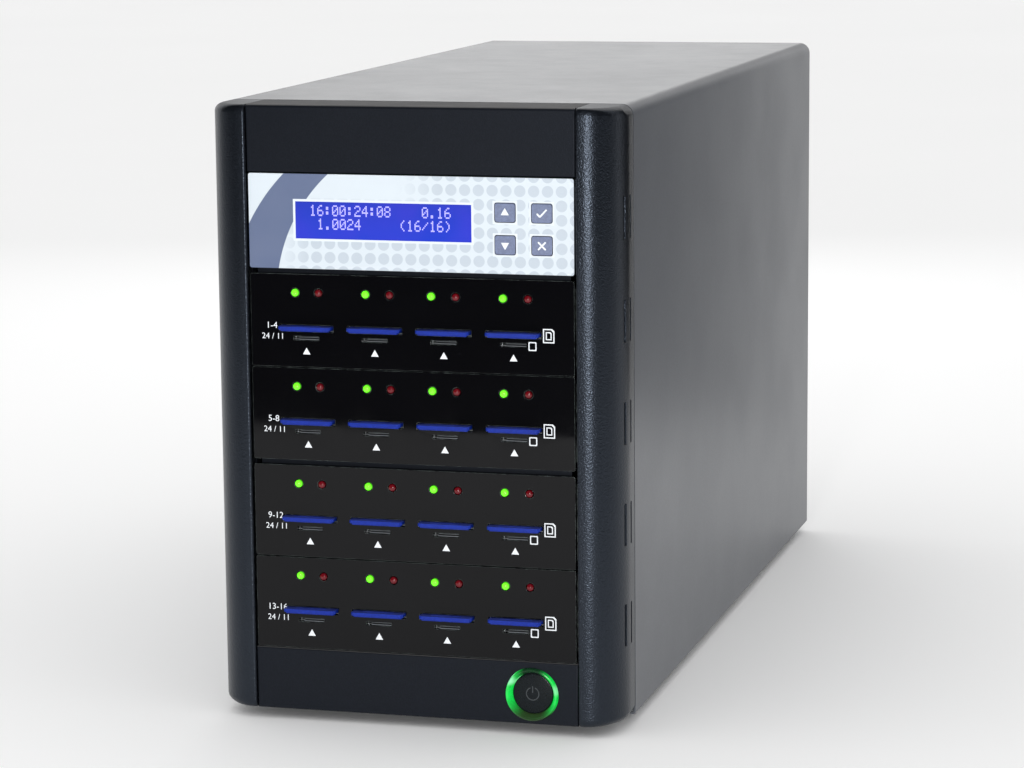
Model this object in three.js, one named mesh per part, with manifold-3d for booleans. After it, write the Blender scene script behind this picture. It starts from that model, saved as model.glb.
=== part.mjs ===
// Memory card duplicator tower: a tall narrow case with a display plate, four reader plates
// with SD and microSD slots, a lit power button, a power supply and two fans.
// Millimetres. +Z is up, the front faces -Y, the origin is under the middle of the tower.
import * as THREE from "three";
import { mergeVertices } from "three/addons/utils/BufferGeometryUtils.js";
import Module from "manifold-3d";

const wasm = await Module();
wasm.setup();

// Clearances
const fitGap = 0.3;
const filmGap = 0.1;
const overrun = 1;

// Bays and the plates stacked in them
const bayWidth = 148;
const readerRows = 4;
const rowsPerGroup = 2;
const plateHeight = 41.2;
const displayHeight = 41.6;
const rowGap = 0.4;
const groupGap = 2.4;
const stackEndGap = 0.5;
const plateSideGap = 0.6;
const plateThickness = 3;
const plateCornerRadius = 0.8;

// Case
const pillarWidth = 19.5;
const caseDepth = 455;
const bezelDepth = 26.6;
const topPanelHeight = 29.5;
const bottomPanelHeight = 28;
const shoulderRadius = 5.5;
const coverSheet = 1;
const coverHem = 8;
const coverRearFlange = 11;
const steelSheet = 1;

// Side arms that carry each plate in the cage
const armThickness = 2.4;
const armLength = 70;
const armInset = 3.6;
const armScrewRadius = 1.6;
const armScrewDrop = 7.2;
const armScrewReachShares = [0.35, 0.85];
const ledgeWidth = 3;
const ledgeThickness = 1.6;

// Bezel
const bezelWall = 2.5;
const bezelRib = 1.5;
const bezelCells = 5;
const uprightWall = 2.2;
const uprightFlangeReach = 12;

// Pillars
const pillarWall = 2.2;
const pillarProud = 1.2;
const pillarFrontFlat = 3.2;
const pillarSideFlat = 7.8;
const pillarLip = 5;
const pillarEdgeRound = 0.9;
const pillarSlotPairs = 5;
const pillarSlotPitch = 44.8;
const pillarSlotHeight = 19;
const pillarSlotWidth = 2;
const pillarSlotSpacing = 7;
const pillarSlotInset = 7.1;
const pillarSlotDrop = 2;

// Power button, its lit ring and its switch
const buttonRadius = 9;
const buttonInsetX = 20.8;
const buttonRise = 13.4;
const buttonProud = 1.9;
const buttonCrown = 0.5;
const buttonCapDepth = 8;
const buttonStemRadius = 3.5;
const buttonStemLength = 6;
const buttonPinRadius = 2;
const buttonPinReach = 3;
const buttonTravel = 2;
const ringWall = 2.4;
const ringProud = 0.6;
const ringFlange = 0.9;
const ringFlangeThickness = 1.5;
const ringTailStep = 1;
const ringLength = 18;
const switchFlangeThickness = 1.5;
const switchBodyDepth = 5;

// Display plate, its film and window
const faceplateSetback = 0.45;
const filmThickness = 0.3;
const windowInsetX = 22.05;
const windowHeight = 16.3;
const windowRise = 21.4;
const windowSetback = 1.5;
const windowThickness = 1.4;
const windowRebate = 1.8;
const windowToKeys = 10.5;

// Keys
const keyWidth = 9;
const keyHeight = 8.1;
const keyRadius = 1;
const keyPitchX = 16.35;
const keyPitchZ = 14;
const keyInsetX = 22.9;
const keyGroupRise = 19.5;
const keyProud = 0.4;
const keyFlange = 1;
const keyFlangeThickness = 0.8;
const keyTravel = 0.5;

// Display board
const boardThickness = 1.6;
const displayBoardStart = 13;
const bossRadius = 2.6;
const bossInsetX = 6.6;
const bossInsetZ = 4.2;
const lcdFrameRim = 6;
const tactSize = 6;
const tactPlungerRadius = 1.5;
const tactPlungerHeight = 2.4;
const headerLength = 40;
const headerHeight = 3;
const headerDepth = 6;

// Card slots, sockets and cards
const slotsPerRow = 4;
const slotEndMargin = 11.26;
const slotRowOffset = 0.85;
const slotRise = 17.2;
const slotMouthGap = 0.2;
const cardWidth = 24;
const cardLength = 32;
const cardThickness = 2.1;
const cardRimThickness = 1.4;
const cardRimWidth = 0.9;
const cardCorner = 4;
const cardCornerRound = 1;
const cardProud = 3.8;
const cardPushIn = 0.8;
const microCardWidth = 11;
const microCardThickness = 1;
const microSocketDepth = 15;
const socketWall = 0.4;
const socketSideWall = 0.9;

// Reader boards
const readerBoardDepth = 62;
const readerChipSize = 11;
const readerChipHeight = 1.6;
const readerChipSpacing = 62;
const readerPlugWidth = 16;
const readerPlugDepth = 9;
const readerPlugHeight = 5;

// LED combs: places are shares of the slot pitch, from the middle of each slot
const ledRise = 32.9;
const ledRadius = 1.55;
const ledProud = 0.7;
const ledBarHeight = 1.5;
const ledBarDepth = 2;
const greenLedShares = [-0.156, -0.128, -0.175, -0.147];
const redLedShares = [0.188, 0.223, 0.179, 0.21];

// Chassis
const cageDepth = 165;
const cageHeadroom = 4;
const cageWindowMargin = 10;
const panSideHeight = 20;
const floorVentPitch = 12;
const floorVentWidth = 4;
const floorVentLength = 74;
const floorVentClearance = 20;

// Controller board and the cage tabs that carry it
const controllerSideGap = 8;
const controllerDepth = 86;
const controllerStart = 84;
const controllerRise = 12;
const tabReach = 11;
const tabLength = 11;
const tabInset = 11;
const heatSinkSize = 30;
const heatSinkHeight = 7;
const heatSinkBase = 2.5;
const heatSinkFins = 5;
const heatSinkFin = 2.4;
const controllerChip = 15;
const controllerChipHeight = 1.8;
const controllerChipPlaceShares = [[-0.34, 0.25], [0.34, 0.25]];
const plugWidth = 7;
const plugDepth = 20;
const plugHeight = 8;
const plugPlaceShares = [[-0.4, -0.3], [-0.3, -0.3], [0.3, -0.3], [0.4, -0.3]];

// Power supply
const psuWidth = 150;
const psuDepth = 140;
const psuFanMargin = 3;
const psuFanInset = 5;
const psuRearLip = 4;
const psuIntakeSlots = 8;
const psuIntakeWidth = 6;
const psuIntakePitch = 17;
const psuIntakeMargin = 20;

// Mains inlet
const inletWidth = 27;
const inletHeight = 20;
const inletDepth = 17;
const inletFlange = 3;
const inletFlangeRise = 0.8;
const inletFlangeThickness = 0.8;
const inletWall = 1.4;
const inletChamfer = 4;
const inletPinWidth = 2;
const inletPinHeight = 4;
const inletPinLength = 14;
const inletPinPitch = 14;
const inletPinDrop = 1.5;
const inletEarthRise = 3;
const inletAboveMiddle = 20;

// Rocker switch
const rockerWidth = 19;
const rockerHeight = 13;
const rockerCap = 4;
const rockerBodyDepth = 12;
const rockerBelowMiddle = 18;
const rockerThrowDegrees = 8;

// Fans
const fanSize = 80;
const fanDepth = 25;
const fanWall = 2;
const fanCorner = 5;
const fanScrewPitch = 71.5;
const fanScrewRadius = 2.1;
const fanMountRadius = 14;
const fanMountThickness = 3;
const fanMountSetback = 1;
const fanArms = 4;
const fanArmWidth = 4;
const fanBearingRadius = 4;
const fanBearingLength = 11;
const fanShaftRadius = 1.5;
const fanHubRadius = 17;
const fanHubWall = 1.5;
const fanHubDepth = 18;
const fanBlades = 7;
const fanBladeThickness = 1.3;
const fanBladeCamber = 1.3;
const fanBladeChord = 19;
const fanBladeRootDegrees = 43;
const fanBladeTipDegrees = 60;
const fanTipGap = 1.2;
const caseFanAbovePsu = 45;

// Rear panel
const grilleRings = 3;
const grilleSpokes = 4;
const grilleWeb = 2.6;
const grilleHubRadius = 9;
const rearVents = 11;
const rearVentPitch = 12.4;
const rearVentWidth = 3.5;
const rearVentHeight = 22;
const rearVentDrop = 16.5;

// Feet
const footHeight = 5;
const footRadius = 9;
const footTipRadius = 7.6;
const footInset = 30;
const footPegRadius = 3;
const footPegChamfer = 0.3;

// Sides and steps of the round shapes
const fineSides = 20;
const roundSides = 16;
const hiddenSides = 12;
const smallSides = 8;
const screwSides = 6;
const shoulderSteps = 4;
const cornerSteps = 2;
const pillarSteps = 8;
const grilleSteps = 4;

// Sizes and places that follow
const bayHalf = bayWidth / 2;
const caseHalf = bayHalf + pillarWidth;
const groups = readerRows / rowsPerGroup;
const stackHeight = readerRows * plateHeight + displayHeight + 2 * stackEndGap
  + groups * ((rowsPerGroup - 1) * rowGap + groupGap);
const bayTop = bottomPanelHeight + stackHeight;
const caseHeight = bayTop + topPanelHeight;
const plateHalf = bayHalf - plateSideGap;
const armFace = bayHalf - fitGap;
const coverStart = bezelDepth + fitGap;
const chassisHalf = caseHalf - coverSheet - fitGap;
const chassisTop = caseHeight - coverSheet - fitGap;
const floorBottom = coverSheet + fitGap;
const floorTop = floorBottom + steelSheet;
const rearPanelBack = caseDepth - coverSheet - fitGap;
const rearPanelFront = rearPanelBack - steelSheet;
const controllerWidth = bayWidth - 2 * controllerSideGap;
const slotPitch = (bayWidth - 2 * slotEndMargin) / slotsPerRow;
const cardGapHeight = cardThickness + 2 * fitGap;
const cardGapWidth = cardWidth + 2 * fitGap;
const microGapHeight = microCardThickness + fitGap;
const microGapWidth = microCardWidth + fitGap;
const readerBoardTop = -cardGapHeight / 2 - socketWall;
const readerBoardBottom = readerBoardTop - boardThickness;
const microFloor = readerBoardBottom - socketWall - microGapHeight;
const ringInnerRadius = buttonRadius + fitGap;
const ringRadius = ringInnerRadius + ringWall;
const ringTailRadius = ringRadius - ringTailStep;
const buttonX = bayHalf - buttonInsetX;
const buttonStemBack = -buttonProud + buttonCrown + buttonCapDepth + buttonStemLength;
const switchFront = buttonStemBack + buttonTravel + fitGap;
const faceplateBack = faceplateSetback + plateThickness;
const keyGroupX = bayHalf - keyInsetX;
const windowLeft = windowInsetX - bayHalf;
const windowRight = keyGroupX - (keyPitchX + keyWidth) / 2 - windowToKeys;
const windowWidth = windowRight - windowLeft;
const windowX = (windowLeft + windowRight) / 2;
const keyBack = faceplateBack + fitGap + keyFlangeThickness;
const psuHeight = fanSize + 2 * psuFanMargin;
const psuBottom = floorTop + fitGap;
const psuBack = rearPanelFront - fitGap;
const psuFanZ = psuBottom + psuHeight / 2;
const psuFanX = psuWidth / 2 - psuFanInset - fanSize / 2;
const psuPanelX = (psuFanX - (fanSize + psuWidth) / 2) / 2;
const inletZ = psuFanZ + inletAboveMiddle;
const rockerZ = psuFanZ - rockerBelowMiddle;
const caseFanZ = psuBottom + psuHeight + caseFanAbovePsu + fanSize / 2;
const fanDuctRadius = fanSize / 2 - fanWall;
const fanTipRadius = fanDuctRadius - fanTipGap;
const radians = Math.PI / 180;

// Ranges: a centred one, one the same both ways, and one on the left or right side
const around = (centre, size) => [centre - size / 2, centre + size / 2];
const bothWays = (reach) => [-reach, reach];
const onSide = (side, near, far) => (side > 0 ? [near, far] : [-far, -near]);

// Closed solids that can be joined and cut
function solid(geometry) {
  geometry.deleteAttribute("normal");
  geometry.deleteAttribute("uv");
  const merged = mergeVertices(geometry);
  const points = merged.attributes.position;
  const corners = [];
  let volume = 0;
  const [a, b, c] = [new THREE.Vector3(), new THREE.Vector3(), new THREE.Vector3()];
  for (let i = 0; i < merged.index.count; i += 3) {
    const [p, q, r] = [0, 1, 2].map((corner) => merged.index.getX(i + corner));
    if (p === q || q === r || r === p) continue;
    corners.push(p, q, r);
    a.fromBufferAttribute(points, p);
    b.fromBufferAttribute(points, q);
    c.fromBufferAttribute(points, r);
    volume += a.dot(b.cross(c));
  }
  if (volume < 0) corners.reverse();
  return new wasm.Manifold(new wasm.Mesh({
    numProp: 3,
    vertProperties: new Float32Array(points.array),
    triVerts: new Uint32Array(corners),
  }));
}

const joined = (solids) => solids.reduce((whole, part) => whole.add(part));
const cutBy = (whole, cutters) => whole.subtract(joined(cutters));

function block([x0, x1], [y0, y1], [z0, z1]) {
  const geometry = new THREE.BoxGeometry(x1 - x0, y1 - y0, z1 - z0);
  geometry.translate((x0 + x1) / 2, (y0 + y1) / 2, (z0 + z1) / 2);
  return solid(geometry);
}

// An outline drawn in X and Z, given its thickness along Y
function facing(shape, [y0, y1]) {
  const geometry = new THREE.ExtrudeGeometry(shape, { depth: y1 - y0, bevelEnabled: false });
  geometry.rotateX(Math.PI / 2);
  geometry.translate(0, y1, 0);
  return solid(geometry);
}

// An outline drawn in X and Y, given its height along Z
function standing(shape, [z0, z1]) {
  const geometry = new THREE.ExtrudeGeometry(shape, { depth: z1 - z0, bevelEnabled: false });
  geometry.translate(0, 0, z0);
  return solid(geometry);
}

// A profile of radius and depth, turned about the Y axis
function turned(profile, sides) {
  return solid(new THREE.LatheGeometry(profile.map(([r, y]) => new THREE.Vector2(r, y)), sides));
}

function rodAlongY(radius, [y0, y1], x, z, sides) {
  return turned([[0, y0], [radius, y0], [radius, y1], [0, y1]], sides).translate([x, 0, z]);
}

function rodAlongX(radius, [x0, x1], y, z, sides) {
  const geometry = new THREE.CylinderGeometry(radius, radius, x1 - x0, sides);
  geometry.rotateZ(Math.PI / 2);
  geometry.translate((x0 + x1) / 2, y, z);
  return solid(geometry);
}

function rodAlongZ(radius, [z0, z1], x, y, sides) {
  const geometry = new THREE.CylinderGeometry(radius, radius, z1 - z0, sides);
  geometry.rotateX(Math.PI / 2);
  geometry.translate(x, y, (z0 + z1) / 2);
  return solid(geometry);
}

// Points of an arc, from one angle to another in quarter turns
function arc(x, z, radius, from, to, steps) {
  const points = [];
  for (let step = 0; step <= steps; step += 1) {
    const angle = (Math.PI / 2) * (from + (to - from) * (step / steps));
    points.push(new THREE.Vector2(x + radius * Math.cos(angle), z + radius * Math.sin(angle)));
  }
  return points;
}

const outlineOf = (points) => new THREE.Shape(points);

function roundedOutline([x0, x1], [z0, z1], radius) {
  return outlineOf([
    ...arc(x1 - radius, z1 - radius, radius, 0, 1, cornerSteps),
    ...arc(x0 + radius, z1 - radius, radius, 1, 2, cornerSteps),
    ...arc(x0 + radius, z0 + radius, radius, 2, 3, cornerSteps),
    ...arc(x1 - radius, z0 + radius, radius, 3, 4, cornerSteps),
  ]);
}

// Square below with round shoulders: the outline of the cover and of what fits inside it
function shoulderOutline(half, [z0, z1], radius) {
  return outlineOf([
    new THREE.Vector2(-half, z0),
    new THREE.Vector2(half, z0),
    ...arc(half - radius, z1 - radius, radius, 0, 1, shoulderSteps),
    ...arc(radius - half, z1 - radius, radius, 1, 2, shoulderSteps),
  ]);
}

// Outer cover: one folded sheet with hems below and a flange round the back
function outerCover() {
  const sheet = facing(
    shoulderOutline(caseHalf, [0, caseHeight], shoulderRadius), [coverStart, caseDepth]);
  const inside = facing(shoulderOutline(
    caseHalf - coverSheet, [-overrun, caseHeight - coverSheet], shoulderRadius - coverSheet),
  [coverStart - overrun, caseDepth - coverSheet]);
  const rearOpening = facing(shoulderOutline(
    caseHalf - coverRearFlange, [-overrun, caseHeight - coverRearFlange], shoulderRadius),
  [coverStart - overrun, caseDepth + overrun]);
  const hems = [-1, 1].map((side) => block(
    onSide(side, caseHalf - coverHem, caseHalf - coverSheet / 2),
    [coverStart, caseDepth - coverRearFlange], [0, coverSheet]));
  return joined([cutBy(sheet, [inside, rearOpening]), ...hems]);
}

// Chassis: front frame, base pan with side walls, the cage of the bays, and its tabs
function chassis() {
  const frameBack = coverStart + steelSheet;
  const cageEnd = coverStart + cageDepth;
  const panEnd = rearPanelFront - fitGap;
  const cageTop = bayTop + cageHeadroom;
  const outer = bayHalf + steelSheet;
  const frame = cutBy(facing(
    shoulderOutline(chassisHalf, [floorBottom, chassisTop], shoulderRadius - coverSheet),
    [coverStart, frameBack]),
  [block(bothWays(bayHalf), [coverStart - overrun, frameBack + overrun],
    [bottomPanelHeight, bayTop])]);
  const solids = [
    frame,
    block(bothWays(chassisHalf), [coverStart, panEnd], [floorBottom, floorTop]),
    block(bothWays(outer), [coverStart, cageEnd], [cageTop - steelSheet, cageTop]),
  ];
  for (const side of [-1, 1]) {
    solids.push(block(onSide(side, chassisHalf - steelSheet, chassisHalf),
      [coverStart, panEnd], [floorBottom, floorBottom + panSideHeight]));
    solids.push(block(onSide(side, bayHalf, outer), [coverStart, cageEnd],
      [floorBottom, cageTop]));
    for (const y of tabPlaces) {
      solids.push(block(onSide(side, bayHalf - tabReach, outer), around(y, tabLength),
        [controllerZ - fitGap - steelSheet, controllerZ - fitGap]));
    }
  }
  const cutters = footPlaces().map(([x, y]) => rodAlongZ(
    footPegRadius + fitGap, [floorBottom - overrun, floorTop + overrun], x, y, hiddenSides));
  for (let row = 1; row <= readerRows; row += 1) {
    cutters.push(block(bothWays(outer + overrun),
      [coverStart + armLength + cageWindowMargin, cageEnd - cageWindowMargin],
      [plateBottom(row) + cageWindowMargin, plateBottom(row) + plateHeight - cageWindowMargin]));
  }
  const ventEnd = psuBack - psuDepth - floorVentClearance;
  for (let y = cageEnd + floorVentClearance; y < ventEnd; y += floorVentPitch) {
    cutters.push(block(around(0, floorVentLength), around(y, floorVentWidth),
      [floorBottom - overrun, floorTop + overrun]));
  }
  return cutBy(joined(solids), cutters);
}

// Rear panel: the power supply's opening, a row of vents and the case fan's grille
function rearPanel() {
  const sheet = facing(
    shoulderOutline(chassisHalf, [floorBottom, chassisTop], shoulderRadius - coverSheet),
    [rearPanelFront, rearPanelBack]);
  const through = [rearPanelFront - overrun, rearPanelBack + overrun];
  const cutters = [block(around(0, psuWidth - 2 * psuRearLip), through,
    [psuBottom + psuRearLip, psuBottom + psuHeight - psuRearLip])];
  const ventTop = chassisTop - rearVentDrop;
  for (let vent = 0; vent < rearVents; vent += 1) {
    cutters.push(block(around((vent - (rearVents - 1) / 2) * rearVentPitch, rearVentWidth),
      through, [ventTop - rearVentHeight, ventTop]));
  }
  return cutBy(sheet, [...cutters, ...fanGrille(0, caseFanZ, through)]);
}

// Ring slots before a fan, with webs left between the rings and for the spokes
function fanGrille(x, z, through) {
  const pitch = (fanDuctRadius - grilleHubRadius) / grilleRings;
  const cutters = [];
  for (let ring = 0; ring < grilleRings; ring += 1) {
    const inner = grilleHubRadius + ring * pitch + grilleWeb / 2;
    const outer = inner + pitch - grilleWeb;
    const reach = (radius) => 2 / grilleSpokes - grilleWeb / (Math.PI * radius);
    for (let spoke = 0; spoke < grilleSpokes; spoke += 1) {
      const middle = 4 * spoke / grilleSpokes;
      cutters.push(facing(outlineOf([
        ...arc(x, z, outer, middle - reach(outer), middle + reach(outer), grilleSteps),
        ...arc(x, z, inner, middle + reach(inner), middle - reach(inner), grilleSteps),
      ]), through));
    }
  }
  return [...cutters, ...fanScrewHoles(through).map((hole) => hole.translate([x, 0, z]))];
}

function fanScrewHoles(through) {
  const places = bothWays(fanScrewPitch / 2);
  return places.flatMap((x) => places.map((z) => rodAlongY(
    fanScrewRadius, through, x, z, screwSides)));
}

// Bezel: top and bottom panels with ribbed backs, an upright beside the bay on each side
function bezelFrame() {
  const upright = [pillarWall + fitGap, caseHeight - pillarWall - fitGap];
  const panels = [[0, bottomPanelHeight], [bayTop, caseHeight]];
  const solids = [
    ...panels.map((height) => block(bothWays(bayHalf), [0, bezelDepth], height)),
    block(bothWays(bayHalf + uprightWall), [pillarLip + fitGap, bezelDepth], upright),
    block(bothWays(bayHalf + uprightFlangeReach), [bezelDepth - bezelWall, bezelDepth],
      [upright[0] + shoulderRadius, upright[1] - shoulderRadius]),
  ];
  const cutters = [block(bothWays(bayHalf), [-overrun, bezelDepth + overrun],
    [bottomPanelHeight, bayTop])];
  const cellPitch = (bayWidth - 2 * bezelWall + bezelRib) / bezelCells;
  for (let cell = 0; cell < bezelCells; cell += 1) {
    const x = (cell - (bezelCells - 1) / 2) * cellPitch;
    for (const [low, high] of panels) {
      cutters.push(block(around(x, cellPitch - bezelRib), [bezelWall, bezelDepth + overrun],
        [low + bezelWall, high - bezelWall]));
    }
  }
  const seatRadius = ringRadius + ringFlange + fitGap;
  cutters.push(
    rodAlongY(ringRadius + fitGap, [-overrun, bezelWall + overrun], buttonX, buttonRise, fineSides),
    rodAlongY(seatRadius, [bezelWall, bezelWall + ringFlangeThickness + 2 * fitGap],
      buttonX, buttonRise, fineSides),
    block(around(buttonX, 2 * seatRadius), [bezelWall, bezelDepth + overrun],
      [bezelWall, bottomPanelHeight - bezelWall]));
  return cutBy(joined(solids), cutters);
}

// Pillar: a curved shell, open behind, with pairs of tall slots down its side
function pillar(side) {
  const seam = bayHalf + fitGap;
  const flatEnd = seam + pillarFrontFlat;
  const curveEnd = bezelDepth - pillarSideFlat;
  const curve = (inset) => {
    const points = [];
    for (let step = 0; step <= pillarSteps; step += 1) {
      const angle = (Math.PI / 2) * (step / pillarSteps);
      points.push([flatEnd + (caseHalf - flatEnd - inset) * Math.sin(angle),
        curveEnd - (curveEnd + pillarProud - inset) * Math.cos(angle)]);
    }
    return points;
  };
  const plan = (points) => outlineOf(points.map(([x, y]) => new THREE.Vector2(side * x, y)));
  const skin = standing(plan([
    [seam, bezelDepth],
    [seam, pillarEdgeRound - pillarProud],
    [seam + pillarEdgeRound, -pillarProud],
    ...curve(0),
    [caseHalf, bezelDepth],
  ]), [0, caseHeight]);
  const hollow = standing(plan([
    [seam - overrun, bezelDepth + overrun],
    [seam - overrun, pillarLip],
    [seam + pillarWall, pillarLip],
    [seam + pillarWall, pillarWall - pillarProud],
    ...curve(pillarWall),
    [caseHalf - pillarWall, bezelDepth + overrun],
  ]), [pillarWall, caseHeight - pillarWall]);
  const through = [-pillarProud - overrun, bezelDepth + overrun];
  const corners = [[shoulderRadius, -1], [caseHeight - shoulderRadius, 1]].map(([z, level]) => {
    const centre = caseHalf - shoulderRadius;
    const rounding = arc(0, 0, shoulderRadius, 0, 1, shoulderSteps);
    return facing(outlineOf([
      ...rounding.map((point) => new THREE.Vector2(
        side * (centre + point.x), z + level * point.y)),
      new THREE.Vector2(side * centre, z + level * (shoulderRadius + overrun)),
      new THREE.Vector2(side * (caseHalf + overrun), z + level * (shoulderRadius + overrun)),
      new THREE.Vector2(side * (caseHalf + overrun), z),
    ]), through);
  });
  const slots = [];
  for (let pair = 0; pair < pillarSlotPairs; pair += 1) {
    const z = caseHeight / 2 - pillarSlotDrop
      + (pair - (pillarSlotPairs - 1) / 2) * pillarSlotPitch;
    for (const step of [0, 1]) {
      slots.push(block(onSide(side, caseHalf - 2 * pillarWall, caseHalf + overrun),
        around(bezelDepth - pillarSlotInset - step * pillarSlotSpacing, pillarSlotWidth),
        around(z, pillarSlotHeight)));
    }
  }
  return cutBy(skin, [...corners, hollow, ...slots]);
}

// Power button group: the lit ring, the cap on its stem, and the switch in the ring's tail
function powerRing() {
  const seat = bezelWall + fitGap;
  const seatEnd = seat + ringFlangeThickness;
  return turned([
    [ringInnerRadius, 0],
    [ringInnerRadius + ringProud, -ringProud],
    [ringRadius - ringProud, -ringProud],
    [ringRadius, 0],
    [ringRadius, seat],
    [ringRadius + ringFlange, seat],
    [ringRadius + ringFlange, seatEnd],
    [ringTailRadius, seatEnd],
    [ringTailRadius, ringLength],
    [ringInnerRadius, ringLength],
    [ringInnerRadius, 0],
  ], fineSides);
}

function powerButton() {
  const shoulder = -buttonProud + buttonCrown;
  const capBack = shoulder + buttonCapDepth;
  return turned([
    [0, -buttonProud],
    [buttonRadius * 2 / 3, -buttonProud + buttonCrown / 3],
    [buttonRadius - buttonCrown, shoulder],
    [buttonRadius, shoulder + buttonCrown],
    [buttonRadius, capBack],
    [buttonStemRadius, capBack],
    [buttonStemRadius, buttonStemBack],
    [buttonPinRadius, buttonStemBack],
    [buttonPinRadius, switchFront + buttonPinReach],
    [0, switchFront + buttonPinReach],
  ], fineSides);
}

function powerSwitch() {
  const flange = ringLength + fitGap;
  const boreEnd = switchFront + buttonPinReach + buttonTravel + fitGap;
  return turned([
    [0, boreEnd],
    [buttonPinRadius + fitGap, boreEnd],
    [buttonPinRadius + fitGap, switchFront],
    [buttonRadius, switchFront],
    [buttonRadius, flange],
    [ringTailRadius, flange],
    [ringTailRadius, flange + switchFlangeThickness],
    [buttonRadius, flange + switchFlangeThickness],
    [buttonRadius, flange + switchBodyDepth],
    [0, flange + switchBodyDepth],
  ], hiddenSides);
}

// Side arms behind a plate, and the holes for the screws that hold them in the cage
function plateArms(height, back) {
  const arms = [];
  const holes = [];
  for (const side of [-1, 1]) {
    const wall = onSide(side, armFace - armThickness, armFace);
    arms.push(block(wall, [back - plateThickness / 2, back + armLength],
      [armInset, height - armInset]));
    for (const share of armScrewReachShares) {
      holes.push(rodAlongX(armScrewRadius, [wall[0] - overrun, wall[1] + overrun],
        back + armLength * share, height - armScrewDrop, screwSides));
    }
  }
  return { arms, holes };
}

const slotX = (slot) => (slot - (slotsPerRow - 1) / 2) * slotPitch - slotRowOffset;

// Reader plate: SD and microSD mouths, LED holes, arms and the ledges under the board
function readerFront() {
  const plate = facing(roundedOutline(bothWays(plateHalf), [0, plateHeight], plateCornerRadius),
    [0, plateThickness]);
  const { arms, holes } = plateArms(plateHeight, plateThickness);
  const ledgeTop = slotRise + readerBoardBottom - fitGap;
  const ledges = [-1, 1].map((side) => block(
    onSide(side, armFace - armThickness - ledgeWidth, armFace - armThickness / 2),
    [plateThickness / 2, plateThickness + armLength], [ledgeTop - ledgeThickness, ledgeTop]));
  const through = [-overrun, plateThickness + overrun];
  const cutters = [...holes];
  for (let slot = 0; slot < slotsPerRow; slot += 1) {
    const x = slotX(slot);
    cutters.push(
      block(around(x, cardGapWidth + 2 * slotMouthGap), through,
        around(slotRise, cardGapHeight + 2 * slotMouthGap)),
      block(around(x, microGapWidth + 2 * slotMouthGap), through,
        around(slotRise + microFloor + microGapHeight / 2, microGapHeight + 2 * slotMouthGap)));
    for (const share of [greenLedShares[slot], redLedShares[slot]]) {
      cutters.push(rodAlongY(ledRadius + fitGap, through, x + share * slotPitch, ledRise,
        smallSides));
    }
  }
  return cutBy(joined([plate, ...arms, ...ledges]), cutters);
}

// Reader board: SD sockets on top, microSD sockets below, two chips and a plug socket
function readerBoard() {
  const front = plateThickness + fitGap;
  const back = front + readerBoardDepth;
  const cardEnd = cardLength - cardProud + cardPushIn + fitGap;
  const rooted = readerBoardTop - boardThickness / 2;
  const solids = [
    block(bothWays(armFace - armThickness - fitGap), [front, back],
      [readerBoardBottom, readerBoardTop]),
    block(around(-slotRowOffset, readerPlugWidth), [back - readerPlugDepth, back],
      [rooted, readerBoardTop + readerPlugHeight]),
  ];
  const cutters = [];
  for (let slot = 0; slot < slotsPerRow; slot += 1) {
    const x = slotX(slot);
    solids.push(
      block(around(x, cardGapWidth + 2 * socketSideWall), [front, cardEnd + socketSideWall],
        [rooted, cardGapHeight / 2 + socketWall]),
      block(around(x, microGapWidth + 2 * socketSideWall),
        [front, front + microSocketDepth + socketSideWall], [microFloor - socketWall, rooted]));
    cutters.push(
      block(around(x, cardGapWidth), [front - overrun, cardEnd], around(0, cardGapHeight)),
      block(around(x, microGapWidth), [front - overrun, front + microSocketDepth],
        [microFloor, microFloor + microGapHeight]));
  }
  const chipY = (cardEnd + back) / 2;
  for (const x of bothWays(readerChipSpacing / 2)) {
    solids.push(block(around(x, readerChipSize), around(chipY, readerChipSize),
      [rooted, readerBoardTop + readerChipHeight]));
  }
  return cutBy(joined(solids), cutters);
}

// LED comb: four lamps on one bar, which lies above the green ones and below the red ones
function ledComb(shares, level) {
  const reach = ledRadius + fitGap;
  const depth = [plateThickness + fitGap, plateThickness + fitGap + ledBarDepth];
  const between = (near, far) => (level > 0 ? [near, far] : [-far, -near]);
  const places = shares.map((share, slot) => slotX(slot) + share * slotPitch);
  const bar = block([places[0] - ledRadius, places[slotsPerRow - 1] + ledRadius],
    depth, between(reach, reach + ledBarHeight));
  const lamps = places.flatMap((x) => [
    turned([
      [0, -ledProud], [ledRadius, ledProud / 2], [ledRadius, depth[1]], [0, depth[1]],
    ], smallSides).translate([x, 0, 0]),
    block(around(x, ledRadius), depth, between(ledRadius / 2, reach + ledBarHeight / 2)),
  ]);
  return joined([bar, ...lamps]);
}

// SD card: its thin rim has the full outline, and one rear corner is cut off
function sdCard() {
  const front = -cardProud;
  const outline = (inset) => {
    const half = cardWidth / 2 - inset;
    const back = cardLength - cardProud - inset;
    return outlineOf([
      [cardCornerRound - half, front],
      [half - cardCornerRound, front],
      [half, front + cardCornerRound],
      [half, back - cardCorner],
      [half - cardCorner, back],
      [cardCornerRound - half, back],
      [-half, back - cardCornerRound],
      [-half, front + cardCornerRound],
    ].map(([x, y]) => new THREE.Vector2(x, y)));
  };
  const top = cardThickness / 2;
  return joined([
    standing(outline(0), [top - cardRimThickness, top]),
    standing(outline(cardRimWidth), [-top, top]),
  ]);
}

// Display plate: window and key openings, arms, and bosses for its board
const keyPlaces = [];
for (const column of [-1, 1]) {
  for (const level of [1, -1]) {
    keyPlaces.push([keyGroupX + column * keyPitchX / 2, keyGroupRise + level * keyPitchZ / 2]);
  }
}

function keyHoles(through) {
  return keyPlaces.map(([x, z]) => facing(roundedOutline(
    around(x, keyWidth + 2 * fitGap), around(z, keyHeight + 2 * fitGap), keyRadius), through));
}

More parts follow.
